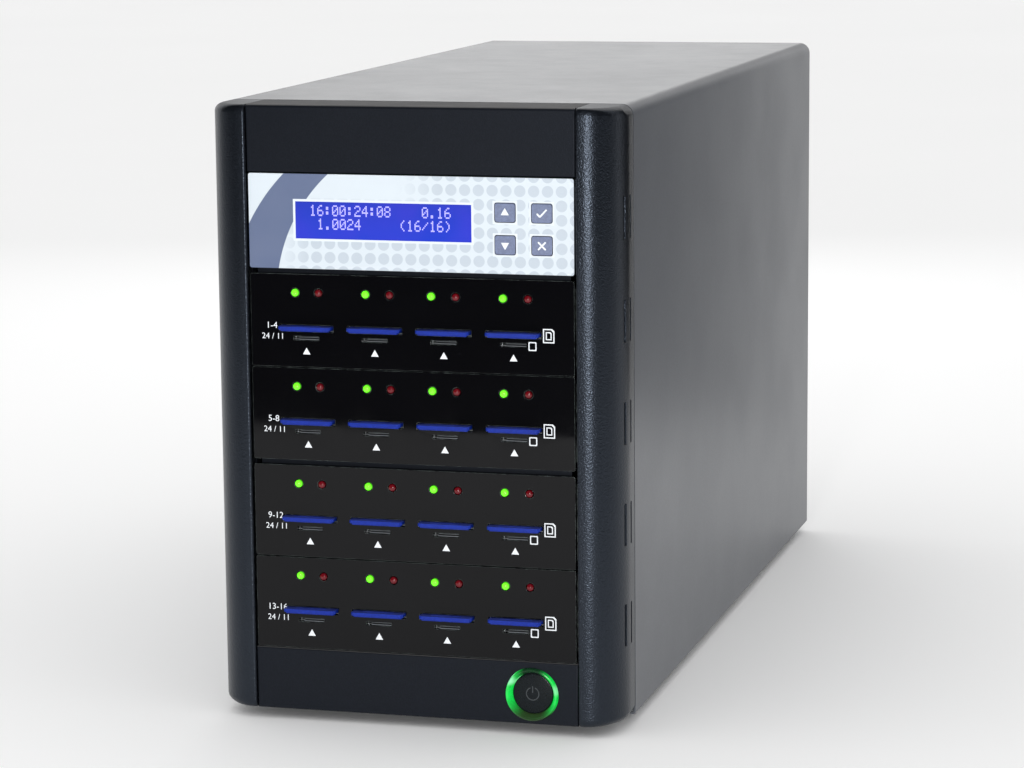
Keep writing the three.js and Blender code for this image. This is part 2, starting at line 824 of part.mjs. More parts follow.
function displayFaceplate() {
  const plate = facing(roundedOutline(bothWays(plateHalf), [0, displayHeight], plateCornerRadius),
    [faceplateSetback, faceplateBack]);
  const { arms, holes } = plateArms(displayHeight, faceplateBack);
  const bosses = bothWays(plateHalf - bossInsetX).flatMap((x) => (
    [bossInsetZ, displayHeight - bossInsetZ].map((z) => rodAlongY(
      bossRadius, [faceplateBack - plateThickness / 2, displayBoardStart - fitGap],
      x, z, smallSides))));
  const through = [faceplateSetback - overrun, faceplateBack + overrun];
  const windowHole = block(around(windowX, windowWidth + 2 * windowRebate), through,
    around(windowRise, windowHeight + 2 * windowRebate));
  return cutBy(joined([plate, ...arms, ...bosses]), [windowHole, ...keyHoles(through), ...holes]);
}

// Printed film over the display plate
function displayOverlay() {
  const back = faceplateSetback - filmGap;
  const film = facing(roundedOutline(bothWays(plateHalf), [0, displayHeight], plateCornerRadius),
    [back - filmThickness, back]);
  const through = [back - filmThickness - overrun, back + overrun];
  const windowHole = block([windowLeft, windowRight], through, around(windowRise, windowHeight));
  return cutBy(film, [windowHole, ...keyHoles(through)]);
}

function displayWindow() {
  const rim = 2 * (windowRebate - fitGap);
  return block(around(windowX, windowWidth + rim), [windowSetback, windowSetback + windowThickness],
    around(windowRise, windowHeight + rim));
}

// A key cap, kept in by its flange behind the plate
function keyCap() {
  return joined([
    facing(roundedOutline(around(0, keyWidth), around(0, keyHeight), keyRadius),
      [-keyProud, keyBack]),
    block(around(0, keyWidth + 2 * keyFlange), [keyBack - keyFlangeThickness, keyBack],
      around(0, keyHeight + 2 * keyFlange)),
  ]);
}

// Display board: the LCD in its metal frame, four key switches in front, a header behind
function displayModule() {
  const rim = 2 * (windowRebate - fitGap);
  const rooted = displayBoardStart + boardThickness / 2;
  const solids = [
    block(bothWays(armFace - armThickness - fitGap),
      [displayBoardStart, displayBoardStart + boardThickness], [fitGap, displayHeight - fitGap]),
    block(around(windowX, windowWidth + rim),
      [windowSetback + windowThickness + fitGap, rooted], around(windowRise, windowHeight + rim)),
    block(around(windowX, windowWidth + 2 * lcdFrameRim), [faceplateBack + fitGap, rooted],
      around(windowRise, windowHeight + 2 * lcdFrameRim)),
    block(around(windowX, headerLength),
      [rooted, displayBoardStart + boardThickness + headerDepth],
      [displayHeight - bossInsetZ - headerHeight, displayHeight - bossInsetZ]),
  ];
  const plungerFront = keyBack + keyTravel + filmGap;
  for (const [x, z] of keyPlaces) {
    solids.push(
      rodAlongY(tactPlungerRadius, [plungerFront, displayBoardStart], x, z, smallSides),
      block(around(x, tactSize), [plungerFront + tactPlungerHeight, rooted], around(z, tactSize)));
  }
  return joined(solids);
}

// Controller board: finned heat sink, chips and four cable sockets
const controllerZ = plateBottom(0) + controllerRise;
const tabPlaces = [controllerStart + tabInset, controllerStart + controllerDepth - tabInset];

function controllerBoard() {
  const middle = controllerStart + controllerDepth / 2;
  const rooted = boardThickness / 2;
  const standingOn = ([xShare, yShare], width, depth, height) => block(
    around(controllerWidth * xShare, width), around(middle + controllerDepth * yShare, depth),
    [rooted, boardThickness + height]);
  const solids = [
    block(around(0, controllerWidth), around(middle, controllerDepth), [0, boardThickness]),
    block(around(0, heatSinkSize), around(middle, heatSinkSize),
      [rooted, boardThickness + heatSinkBase]),
    ...plugPlaceShares.map((place) => standingOn(place, plugWidth, plugDepth, plugHeight)),
    ...controllerChipPlaceShares.map((place) => standingOn(
      place, controllerChip, controllerChip, controllerChipHeight)),
  ];
  const finPitch = (heatSinkSize - heatSinkFin) / (heatSinkFins - 1);
  for (let fin = 0; fin < heatSinkFins; fin += 1) {
    solids.push(block(around((fin - (heatSinkFins - 1) / 2) * finPitch, heatSinkFin),
      around(middle, heatSinkSize), [rooted, boardThickness + heatSinkHeight]));
  }
  return joined(solids);
}

// Power supply: a sheet steel box with its fan frame, grille, intake and two panel openings
function psuCase() {
  const front = psuBack - psuDepth;
  const wallEnd = psuBack - steelSheet;
  const shell = cutBy(
    block(around(0, psuWidth), [front, psuBack], [psuBottom, psuBottom + psuHeight]),
    [block(around(0, psuWidth - 2 * steelSheet), [front + steelSheet, wallEnd],
      [psuBottom + steelSheet, psuBottom + psuHeight - steelSheet])]);
  const fan = fanFrame().translate([psuFanX, psuBack - steelSheet / 2, psuFanZ]);
  const through = [wallEnd - fitGap, psuBack + overrun];
  const cutters = [
    block(around(psuPanelX, inletWidth + 2 * fitGap), through,
      around(inletZ, inletHeight + 2 * fitGap)),
    block(around(psuPanelX, rockerWidth + 2 * (steelSheet + fitGap)), through,
      around(rockerZ, rockerHeight + 2 * (steelSheet + fitGap))),
    ...fanGrille(psuFanX, psuFanZ, through),
  ];
  for (let slot = 0; slot < psuIntakeSlots; slot += 1) {
    cutters.push(block(
      around((slot - (psuIntakeSlots - 1) / 2) * psuIntakePitch, psuIntakeWidth),
      [front - overrun, front + steelSheet + overrun],
      [psuBottom + psuIntakeMargin, psuBottom + psuHeight - psuIntakeMargin]));
  }
  return cutBy(joined([shell, fan]), cutters).add(rockerHousing());
}

// Housing of the rocker switch, open to the rear
function rockerHousing() {
  const room = 2 * fitGap;
  const wall = 2 * steelSheet;
  return cutBy(
    block(around(psuPanelX, rockerWidth + room + 2 * wall),
      [psuBack - rockerBodyDepth, psuBack - steelSheet / 2],
      around(rockerZ, rockerHeight + room + 2 * wall)),
    [block(around(psuPanelX, rockerWidth + room),
      [psuBack - rockerBodyDepth + steelSheet, psuBack + overrun],
      around(rockerZ, rockerHeight + room))]);
}

// Rocker: a cap bent in the middle, tipped to one side about its upright pivot
function psuRocker() {
  const half = rockerWidth / 2;
  const rise = half * Math.tan(rockerThrowDegrees * radians);
  return standing(outlineOf([
    [-half, rise],
    [0, 0],
    [half, rise],
    [half - rise, -rockerCap],
    [rise - half, -rockerCap],
  ].map(([x, y]) => new THREE.Vector2(x, y))), around(0, rockerHeight))
    .rotate([0, 0, rockerThrowDegrees]);
}

// Mains inlet: a flanged socket with three pins
function psuInlet() {
  const back = psuBack + fitGap + inletFlangeThickness;
  const recessEnd = psuBack - inletDepth;
  const shell = joined([
    block(around(0, inletWidth), [recessEnd - inletWall, back], around(0, inletHeight)),
    block(around(0, inletWidth + 2 * inletFlange), [psuBack + fitGap, back],
      around(0, inletHeight + 2 * inletFlangeRise)),
  ]);
  const half = inletWidth / 2 - inletWall;
  const top = inletHeight / 2 - inletWall;
  const recess = facing(outlineOf([
    [-half, -top],
    [half, -top],
    [half, top - inletChamfer],
    [half - inletChamfer, top],
    [inletChamfer - half, top],
    [-half, top - inletChamfer],
  ].map(([x, z]) => new THREE.Vector2(x, z))), [recessEnd, back + overrun]);
  const pins = [
    [-inletPinPitch / 2, -inletPinDrop], [inletPinPitch / 2, -inletPinDrop], [0, inletEarthRise],
  ].map(([x, z]) => block(around(x, inletPinWidth),
    [recessEnd - inletWall / 2, recessEnd + inletPinLength], around(z, inletPinHeight)));
  return joined([cutBy(shell, [recess]), ...pins]);
}

// Fan frame: square body with a round duct, and a motor mount on four arms at the rear
function fanFrame() {
  const body = facing(roundedOutline(bothWays(fanSize / 2), bothWays(fanSize / 2), fanCorner),
    [-fanDepth, 0]);
  const through = [-fanDepth - overrun, overrun];
  const duct = rodAlongY(fanDuctRadius, through, 0, 0, fineSides);
  const mountBack = -fanMountSetback;
  const mountFront = mountBack - fanMountThickness;
  const bore = fanShaftRadius + fitGap;
  const solids = [
    cutBy(body, [duct, ...fanScrewHoles(through)]),
    turned([
      [bore, mountFront - fanBearingLength],
      [fanBearingRadius, mountFront - fanBearingLength],
      [fanBearingRadius, mountFront],
      [fanMountRadius, mountFront],
      [fanMountRadius, mountBack],
      [bore, mountBack],
      [bore, mountFront - fanBearingLength],
    ], hiddenSides),
  ];
  for (let arm = 0; arm < fanArms; arm += 1) {
    const radial = block([fanMountRadius - overrun, fanDuctRadius + overrun],
      [mountFront, mountBack], around(0, fanArmWidth));
    solids.push(radial.rotate([0, (arm + 1 / 2) * 360 / fanArms, 0]));
  }
  return joined(solids);
}

// Fan rotor: a cup over the bearing, a shaft and twisted blades
function fanRotor() {
  const back = -fanMountSetback - fanMountThickness - fitGap;
  const front = back - fanHubDepth;
  const cupRadius = fanHubRadius - fanHubWall;
  const hub = turned([
    [0, front],
    [cupRadius, front],
    [fanHubRadius, front + fanHubWall],
    [fanHubRadius, back],
    [cupRadius, back],
    [cupRadius, front + fanHubWall],
    [fanShaftRadius, front + fanHubWall],
    [fanShaftRadius, back + fanMountThickness],
    [0, back + fanMountThickness],
  ], roundSides);
  const blades = [];
  for (let blade = 0; blade < fanBlades; blade += 1) {
    blades.push(fanBlade((front + back) / 2).rotate([0, blade * 360 / fanBlades, 0]));
  }
  return joined([hub, ...blades]);
}

// One blade, lofted from its root in the hub to its tip through cambered sections
function fanBlade(middle) {
  const sections = 3;
  const across = 2;
  const root = fanHubRadius - fanHubWall / 2;
  const points = [];
  for (let section = 0; section < sections; section += 1) {
    const outward = section / (sections - 1);
    const radius = root + outward * (fanTipRadius - root);
    const turn = radians * (fanBladeRootDegrees
      + outward * (fanBladeTipDegrees - fanBladeRootDegrees));
    for (const face of [-1, 1]) {
      for (let step = 0; step <= across; step += 1) {
        const share = face < 0 ? step / across : 1 - step / across;
        const along = (share - 1 / 2) * fanBladeChord;
        const off = fanBladeCamber * Math.sin(Math.PI * share) + face * fanBladeThickness / 2;
        const swing = (along * Math.sin(turn) + off * Math.cos(turn)) / radius;
        points.push(radius * Math.cos(swing),
          middle + along * Math.cos(turn) - off * Math.sin(turn), radius * Math.sin(swing));
      }
    }
  }
  const count = 2 * (across + 1);
  const index = [];
  for (let section = 0; section + 1 < sections; section += 1) {
    for (let i = 0; i < count; i += 1) {
      const [a, b] = [section * count + i, section * count + (i + 1) % count];
      index.push(a, b, b + count, a, b + count, a + count);
    }
  }
  const tip = (sections - 1) * count;
  for (let i = 0; i < across; i += 1) {
    const [near, next] = [count - 1 - i, count - 2 - i];
    index.push(i, near, i + 1, i + 1, near, next);
    index.push(tip + i, tip + i + 1, tip + near, tip + i + 1, tip + next, tip + near);
  }
  const geometry = new THREE.BufferGeometry();
  geometry.setAttribute("position", new THREE.BufferAttribute(new Float32Array(points), 3));
  geometry.setIndex(index);
  return solid(geometry);
}

// Foot: a tapered rubber pad with a peg in the base pan
function foot() {
  const top = floorBottom - fitGap;
  const geometry = new THREE.LatheGeometry([
    [0, -footHeight],
    [footTipRadius, -footHeight],
    [footRadius, top],
    [footPegRadius, top],
    [footPegRadius, floorTop - footPegChamfer],
    [footPegRadius - footPegChamfer, floorTop],
    [0, floorTop],
  ].map(([r, z]) => new THREE.Vector2(r, z)), hiddenSides);
  geometry.rotateX(Math.PI / 2);
  return solid(geometry);
}

function footPlaces() {
  return bothWays(caseHalf - footInset).flatMap((x) => (
    [bezelDepth + footInset, caseDepth - footInset].map((y) => [x, y])));
}

// Lower edge of a plate: rows count from the top, and the display is row 0
function plateBottom(row) {
  let z = bottomPanelHeight + stackEndGap;
  for (let below = readerRows; below > row; below -= 1) {
    z += plateHeight + ((below - 1) % rowsPerGroup === 0 ? groupGap : rowGap);
  }
  return z;
}

const finishes = {
  coverPaint: { color: 0x4a4d52, roughness: 0.38, metalness: 0.55 },
  bezelPlastic: { color: 0x22262d, roughness: 0.62, metalness: 0 },
  pillarPlastic: { color: 0x262a33, roughness: 0.55, metalness: 0 },
  glossPlate: { color: 0x0b0c0e, roughness: 0.08, metalness: 0 },
  zincSteel: { color: 0xaeb2b6, roughness: 0.42, metalness: 0.9 },
  rearPaint: { color: 0x3c3f44, roughness: 0.45, metalness: 0.5 },
  rubber: { color: 0x1a1a1b, roughness: 0.9, metalness: 0 },
  litRing: { color: 0x1ee05a, roughness: 0.25, metalness: 0 },
  buttonPlastic: { color: 0x20242a, roughness: 0.4, metalness: 0 },
  film: { color: 0xe6ebf0, roughness: 0.35, metalness: 0 },
  lcdGlass: { color: 0x3a3fe0, roughness: 0.15, metalness: 0 },
  keyPlastic: { color: 0x7a7f98, roughness: 0.45, metalness: 0 },
  circuitBoard: { color: 0x1d5a36, roughness: 0.5, metalness: 0 },
  greenLens: { color: 0x6cf03a, roughness: 0.15, metalness: 0 },
  redLens: { color: 0x8a1020, roughness: 0.15, metalness: 0 },
  cardPlastic: { color: 0x2440b4, roughness: 0.45, metalness: 0 },
  blackPlastic: { color: 0x151617, roughness: 0.55, metalness: 0 },
};
const materials = Object.fromEntries(
  Object.entries(finishes).map(([name, look]) => [name, new THREE.MeshStandardMaterial(look)]));

// A named mesh of a finished solid
function piece(name, whole, finish, place = [0, 0, 0]) {
  const { numProp, numVert, vertProperties, triVerts } = whole.getMesh();
  const positions = new Float32Array(numVert * 3);
  for (let i = 0; i < numVert; i += 1) {
    positions.set(vertProperties.subarray(i * numProp, i * numProp + 3), i * 3);
  }
  const geometry = new THREE.BufferGeometry();
  geometry.setAttribute("position", new THREE.BufferAttribute(positions, 3));
  geometry.setIndex(new THREE.BufferAttribute(new Uint32Array(triVerts), 1));
  geometry.computeVertexNormals();
  const mesh = new THREE.Mesh(geometry, materials[finish]);
  mesh.name = name;
  mesh.position.set(...place);
  return mesh;
}

// The tower
const tower = new THREE.Group();
const body = new THREE.Group();
tower.add(body);
body.position.set(0, -(caseDepth - cardProud) / 2, footHeight);

body.add(piece("outer_cover", outerCover(), "coverPaint"));
body.add(piece("chassis", chassis(), "zincSteel"));
body.add(piece("rear_panel", rearPanel(), "rearPaint"));
body.add(piece("bezel_frame", bezelFrame(), "bezelPlastic"));
body.add(piece("left_pillar", pillar(-1), "pillarPlastic"));
body.add(piece("right_pillar", pillar(1), "pillarPlastic"));
footPlaces().forEach(([x, y], i) => {
  body.add(piece(`foot_${i + 1}`, foot(), "rubber", [x, y, 0]));
});

const power = new THREE.Group();
power.position.set(buttonX, 0, buttonRise);
power.add(piece("power_ring", powerRing(), "litRing"));
power.add(piece("power_button", powerButton(), "buttonPlastic"));
power.add(piece("power_switch", powerSwitch(), "blackPlastic"));
body.add(power);

const display = new THREE.Group();
display.position.set(0, 0, plateBottom(0));
display.add(piece("display_faceplate", displayFaceplate(), "bezelPlastic"));
display.add(piece("display_overlay", displayOverlay(), "film"));
display.add(piece("display_window", displayWindow(), "lcdGlass"));
display.add(piece("display_module", displayModule(), "circuitBoard"));
["key_up", "key_down", "key_enter", "key_escape"].forEach((name, i) => {
  const [x, z] = keyPlaces[i];
  display.add(piece(name, keyCap(), "keyPlastic", [x, 0, z]));
});
body.add(display);
body.add(piece("controller_board", controllerBoard(), "circuitBoard", [0, 0, controllerZ]));

for (let row = 1; row <= readerRows; row += 1) {
  const reader = new THREE.Group();
  reader.position.set(0, 0, plateBottom(row));
  reader.add(piece(`reader_front_${row}`, readerFront(), "glossPlate"));
  reader.add(piece(`reader_board_${row}`, readerBoard(), "circuitBoard", [0, 0, slotRise]));
  reader.add(piece(`green_leds_${row}`, ledComb(greenLedShares, 1), "greenLens", [0, 0, ledRise]));
  reader.add(piece(`red_leds_${row}`, ledComb(redLedShares, -1), "redLens", [0, 0, ledRise]));
  for (let slot = 0; slot < slotsPerRow; slot += 1) {
    const number = (row - 1) * slotsPerRow + slot + 1;
    reader.add(piece(`sd_card_${number}`, sdCard(), "cardPlastic", [slotX(slot), 0, slotRise]));
  }
  body.add(reader);
}

body.add(piece("psu_case", psuCase(), "zincSteel"));
body.add(piece("psu_fan_rotor", fanRotor(), "blackPlastic",
  [psuFanX, psuBack - steelSheet / 2, psuFanZ]));
body.add(piece("psu_inlet", psuInlet(), "blackPlastic", [psuPanelX, 0, inletZ]));
body.add(piece("psu_rocker", psuRocker(), "blackPlastic", [psuPanelX, psuBack, rockerZ]));
body.add(piece("case_fan_frame", fanFrame(), "blackPlastic",
  [0, rearPanelFront - fitGap, caseFanZ]));
body.add(piece("case_fan_rotor", fanRotor(), "blackPlastic",
  [0, rearPanelFront - fitGap, caseFanZ]));

export default tower;
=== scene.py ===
"""Looks of a memory card duplicator tower, laid out as a Blender add-on and run as a script.

Metres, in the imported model's frame: +Z is up and the front faces -Y.
"""

import math
from contextlib import contextmanager

import bmesh
import bpy
from mathutils import Matrix, Vector


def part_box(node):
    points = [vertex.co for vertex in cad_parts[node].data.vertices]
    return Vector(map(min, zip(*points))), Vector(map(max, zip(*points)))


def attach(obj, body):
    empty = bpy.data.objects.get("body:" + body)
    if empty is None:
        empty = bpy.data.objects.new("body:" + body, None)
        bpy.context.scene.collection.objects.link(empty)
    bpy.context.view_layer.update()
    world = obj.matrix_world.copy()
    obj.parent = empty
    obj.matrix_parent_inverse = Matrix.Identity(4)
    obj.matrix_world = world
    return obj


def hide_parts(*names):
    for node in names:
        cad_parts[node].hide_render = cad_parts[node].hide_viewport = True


bl_info = {
    "name": "Memory card duplicator tower",
    "version": (1, 0, 0),
    "blender": (4, 5, 0),
    "location": "View3D > Sidebar > Duplicator",
    "description": "Models and finishes the pieces of a memory card duplicator tower",
    "category": "Object",
}

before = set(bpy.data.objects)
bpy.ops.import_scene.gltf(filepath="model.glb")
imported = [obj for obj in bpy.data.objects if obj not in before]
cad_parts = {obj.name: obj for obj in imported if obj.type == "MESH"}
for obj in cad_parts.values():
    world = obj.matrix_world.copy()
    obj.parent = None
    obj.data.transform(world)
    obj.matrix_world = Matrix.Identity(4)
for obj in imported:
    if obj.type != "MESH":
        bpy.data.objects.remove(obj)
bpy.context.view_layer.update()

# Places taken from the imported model
CASE_LOW, CASE_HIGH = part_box("outer_cover")
BEZEL_LOW, BEZEL_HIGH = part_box("bezel_frame")
PILLAR_LOW, PILLAR_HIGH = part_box("right_pillar")
PLATE_LOW, PLATE_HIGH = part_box("reader_front_1")
GLASS_LOW, GLASS_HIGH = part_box("display_window")
FRONT = BEZEL_LOW.y
UNDERSIDE = CASE_LOW.z
TOP = CASE_HIGH.z
REAR = CASE_HIGH.y
ROWS = range(1, 5)
SLOTS = 4
ROOT = "tower"


def mm(value):
    """Millimetres as metres."""
    return value / 1000


# Small shared lengths
CLOSE = 2e-5
OVERRUN = mm(1)
INK = mm(0.03)


def middle_of(name):
    """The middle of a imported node's box."""
    low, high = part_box(name)
    return (low + high) / 2


def linear(code):
    """A colour written as in a paint program, as Blender's own red, green, blue and alpha."""
    parts = [int(code[i:i + 2], 16) / 255 for i in (1, 3, 5)]
    return [p / 12.92 if p <= 0.04045 else ((p + 0.055) / 1.055) ** 2.4 for p in parts] + [1.0]


def length(name, description, default):
    """A size that a user may change, its default in millimetres."""
    return bpy.props.FloatProperty(
        name=name, description=description, default=mm(default), min=0, unit="LENGTH")


def colour(name, description, code):
    """A colour that a user may change."""
    return bpy.props.FloatVectorProperty(
        name=name, description=description, default=linear(code), size=4, min=0, max=1,
        subtype="COLOR")


def share(name, description, default, highest=1.0):
    """A strength that a user may change."""
    return bpy.props.FloatProperty(
        name=name, description=description, default=default, min=0, max=highest)


class CaseSizes(bpy.types.PropertyGroup):
    """Sizes and paint of the folded cover, the feet and the rear."""
    shoulder: length("Shoulder radius", "Radius of the long upper folds", 5.5)
    sheet: length("Sheet", "Thickness of the cover's steel", 1)
    hem: length("Hem", "Width of the folded lower edge", 8)
    flange: length("Rear flange", "Width of the flange round the back", 11)
    fold: length("Fold radius", "Radius of the smaller folds", 0.9)
    foot_edge: length("Foot edge", "Rounding of the rubber feet", 0.7)
    screw_head: length("Screw head", "Radius of the rear screws' heads", 3.1)
    fan_duct: length("Fan duct", "Inner radius of a fan's duct", 38)
    grille_hub: length("Grille hub", "Radius of a grille's middle", 9)
    grille_web: length("Grille web", "Width of a grille's rings and spokes", 2.6)
    fan_screws: length("Fan screws", "Distance between a fan's screws", 71.5)
    psu_lip: length("Supply lip", "How far the rear panel laps over the power supply", 4)
    psu_sheet: length("Supply sheet", "Thickness of the power supply's rear sheet", 0.25)
    vent_width: length("Vent width", "Width of a rear vent", 3.5)
    vent_height: length("Vent height", "Height of a rear vent", 22)
    vent_pitch: length("Vent pitch", "Distance from one rear vent to the next", 12.4)
    vent_drop: length("Vent drop", "How far the vents are below the panel's top", 16.5)
    paint: colour("Cover paint", "Satin powder coat of the cover", "#42464E")
    rear_paint: colour("Rear paint", "Paint of the rear panel", "#2B2E32")
    rubber: colour("Rubber", "Rubber of the feet", "#151515")
    steel: colour("Steel", "Zinc-plated sheet inside and at the rear", "#A9ADB0")


class FrontSizes(bpy.types.PropertyGroup):
    """Sizes and plastics of the pillars and of the panels above and below the bays."""
    bow_width: length("Bow width", "How far a pillar's front curves across", 16)
    bow_depth: length("Bow depth", "How far a pillar's front curves back", 20)
    wall: length("Wall", "Thickness of a pillar's wall", 2.2)
    seam_round: length("Seam rounding", "Rounding beside the seam", 1.1)
    rim_side: length("Side rim", "How far a pillar's rounded rim reaches in", 5.5)
    rim_front: length("Front rim", "How far a pillar's rounded rim reaches back", 1.8)
    rim_rise: length("Rim height", "Height of the rounded rim at a pillar's ends", 3.6)
    back_round: length("Back rounding", "Rounding of a pillar's rear edge", 0.8)
    slot_height: length("Slot height", "Height of a pillar's side slots", 19)
    slot_width: length("Slot width", "Width of a pillar's side slots", 2)
    slot_spacing: length("Slot spacing", "Distance between the two slots of a pair", 7)
    slot_inset: length("Slot inset", "Distance of the rear slot from the pillar's back", 7.1)
    slot_pitch: length("Slot pitch", "Height from one pair of slots to the next", 44.8)
    slot_drop: length("Slot drop", "How far the middle pair is below mid height", 2)
    panel_edge: length("Panel edge", "Rounding of the panels' front edges", 0.7)
    brow_edge: length("Brow edge", "Rounding of the upper panel's top front edge", 1.5)
    brow_back: length("Brow back", "Rounding of the upper panel's top rear edge", 0.9)
    pillar_plastic: colour("Pillar plastic", "Grained plastic of the pillars", "#0B0D11")
    panel_plastic: colour("Panel plastic", "Satin plastic of the panels", "#12151B")


class ReaderSizes(bpy.types.PropertyGroup):
    """Sizes and finishes of the card reader plates, their lamps and the cards."""
    plate: length("Plate thickness", "Thickness of a reader plate", 3)
    corner: length("Plate corner", "Corner radius of a reader plate", 0.8)
    edge: length("Plate edge", "Polished edge of a reader plate", 0.22)
    mouth_width: length("Card mouth width", "Width of the upper mouth", 25)
    mouth_height: length("Card mouth height", "Height of the upper mouth", 3.1)
    small_width: length("Small mouth width", "Width of the lower mouth", 11.7)
    small_height: length("Small mouth height", "Height of the lower mouth", 1.7)
    small_drop: length("Small mouth drop", "How far the lower mouth is below the card", 4.4)
    lamp_rise: length("Lamp rise", "Height of the lamps above the plate's lower edge", 32.9)
    lamp_radius: length("Lamp radius", "Radius of a lamp's lens", 1.7)
    lamp_proud: length("Lamp proud", "How far a lens stands out", 1.0)
    arrow_rise: length("Arrow rise", "Height of the printed arrows", 6.7)
    arrow: length("Arrow size", "Distance from an arrow's middle to its tip", 2.0)
    rim: length("Card rim", "Thickness of a card's rim", 1.4)
    rim_width: length("Card rim width", "How far a card's rim stands out", 0.9)
    card_cut: length("Card corner", "Cut corner of a card", 4)
    plate_gloss: colour("Plate", "Polished black acrylic", "#070709")
    card_blue: colour("Card", "Satin blue of the cards", "#102A8C")
    green: colour("Green lamp", "Lit green lens", "#6CFF28")
    red: colour("Red lamp", "Unlit red lens", "#640A14")
    glow: share("Lamp glow", "Strength of the lit lamps", 0.75, 10)


class DisplaySizes(bpy.types.PropertyGroup):
    """Print, screen and keys of the display plate."""
    dot_pitch: length("Dot pitch", "Distance between the printed dots", 6.14)
    dot: length("Dot radius", "Radius of a printed dot", 2.52)
    outline: length("White outline", "White line round the screen and the keys", 1.0)
    key_corner: length("Key corner", "Corner radius of a key", 1)
    key_edge: length("Key edge", "Rounding of a key's front edge", 0.3)
    key_crown: length("Key crown", "Hollow in a key's face", 0.15)
    cell: length("Character pitch", "Distance from one character to the next", 3.4)
    line: length("Line pitch", "Distance from one line of characters to the next", 5.9)
    paper: colour("Label", "Pale ground of the label", "#CAD3DA")
    dots: colour("Dots", "Printed dots", "#B5BFC9")
    band: colour("Band", "Curved printed band", "#5A6786")
    screen: colour("Screen", "Lit blue of the screen", "#2B46CC")
    letters: colour("Characters", "Characters on the screen", "#A8A4F4")
    key_colour: colour("Keys", "Plastic of the keys", "#6C7694")
    light: share("Screen light", "Strength of the lit screen", 0.8, 10)


class PowerSizes(bpy.types.PropertyGroup):
    """Sizes and finishes of the lit power button."""
    cap: length("Cap radius", "Radius of the button's cap", 9.2)
    recess: length("Cap recess", "How far the cap's middle is behind the panel's face", 1.2)
    ring_inner: length("Ring inside", "Inner radius of the lit ring", 9.5)
    ring_outer: length("Ring outside", "Outer radius of the lit ring", 11.7)
    ring_proud: length("Ring height", "How far the ring stands out of the panel", 1.7)
    cap_edge: length("Cap edge", "Rounding of the cap", 0.6)
    sign: length("Sign radius", "Radius of the sign on the cap", 2.6)
    ring_green: colour("Ring", "Lit green of the ring", "#10D84A")
    cap_plastic: colour("Cap plastic", "Satin plastic of the cap", "#0C1216")
    glow: share("Ring glow", "Strength of the lit ring", 0.9, 10)


class StudioSizes(bpy.types.PropertyGroup):
    """Floor, lamps and camera."""
    floor: length("Floor", "Side of the floor", 24000)
    fill: share("Fill", "Strength of the light from all round", 0.9, 10)
    key: share("Key", "Power of the upper lamp, in watts", 0.6, 1000)
    strip: share("Strip", "Power of the upright strip lamp, in watts", 10.0, 1000)
    back: share("Back", "Power of the lamp behind, in watts", 1.9, 1000)
    floor_white: colour("Floor colour", "Pale floor", "#FFFFFF")
    flag_dark: colour("Flag colour", "Dark card that the gloss reflects", "#0B0C0E")
    lens: length("Lens", "Focal length of the camera", 115.43)


SETTINGS = {
    "tower_case": CaseSizes,
    "tower_front": FrontSizes,
    "tower_readers": ReaderSizes,
    "tower_display": DisplaySizes,
    "tower_power": PowerSizes,
    "tower_studio": StudioSizes,
}


# Selecting, shaping and finishing


def select_only(piece):
    """Makes one piece the selected and active one."""
    bpy.ops.object.select_all(action="DESELECT")
    piece.select_set(True)
    bpy.context.view_layer.objects.active = piece


def settled(name):
    """Names the new piece and puts its place into its mesh."""
    piece = bpy.context.active_object
    piece.name = piece.data.name = name
    bpy.ops.object.transform_apply(location=True, rotation=True, scale=True)
    return piece


@contextmanager
def editing(piece):
    """Edit mode on one piece."""
    select_only(piece)
    bpy.ops.object.mode_set(mode="EDIT")
    yield
    bpy.ops.object.mode_set(mode="OBJECT")


def corners(part):
    """The vertices of a vertex, an edge or a face."""
    return [part] if isinstance(part, bmesh.types.BMVert) else part.verts


def pick(kind, test):
    """Selects, in edit mode, only the vertices, edges or faces that pass a test."""
    bpy.ops.mesh.select_mode(type=kind)
    bpy.ops.mesh.select_all(action="DESELECT")
    piece = bpy.context.edit_object
    mesh = bmesh.from_edit_mesh(piece.data)
    parts = {"VERT": mesh.verts, "EDGE": mesh.edges, "FACE": mesh.faces}[kind]
    chosen = [part for part in parts if test(part)]
    if not chosen:
        raise RuntimeError(f"{piece.name}: nothing was found to shape")
    for part in chosen:
        part.select_set(True)
    mesh.select_flush_mode()
    bmesh.update_edit_mesh(piece.data)


def lying_at(**places):
    """A test for what lies wholly at a given x, y or z."""
    wanted = [("xyz".index(axis), value) for axis, value in places.items()]
    return lambda part: all(
        abs(v.co[i] - value) < CLOSE for v in corners(part) for i, value in wanted)


def running(axis, **places):
    """A test for the edges that run along one axis, at the given places on the others."""
    i = "xyz".index(axis)
    there = lying_at(**places)

    def test(edge):
        a, b = (v.co for v in edge.verts)
        across = [abs(a[j] - b[j]) for j in range(3) if j != i]
        return abs(a[i] - b[i]) > CLOSE and max(across) < CLOSE and there(edge)
    return test


def either(*tests):
    """A test that passes if one of several does."""
    return lambda part: any(test(part) for test in tests)


def round_edges(piece, test, radius, steps=3):
    """Rounds the edges that pass a test."""
    with editing(piece):
        pick("EDGE", test)
        bpy.ops.mesh.bevel(offset=radius, segments=steps, affect="EDGES")


def push(piece, test, inset, move):
    """Insets the faces that pass a test, and then draws them out or in."""
    with editing(piece):
        pick("FACE", test)
        if inset:
            bpy.ops.mesh.inset(thickness=inset, depth=0)
        bpy.ops.mesh.extrude_region_move(TRANSFORM_OT_translate={"value": move})


def remove_faces(piece, test):
    """Takes away the faces that pass a test."""
    with editing(piece):
        pick("FACE", test)
        bpy.ops.mesh.delete(type="FACE")


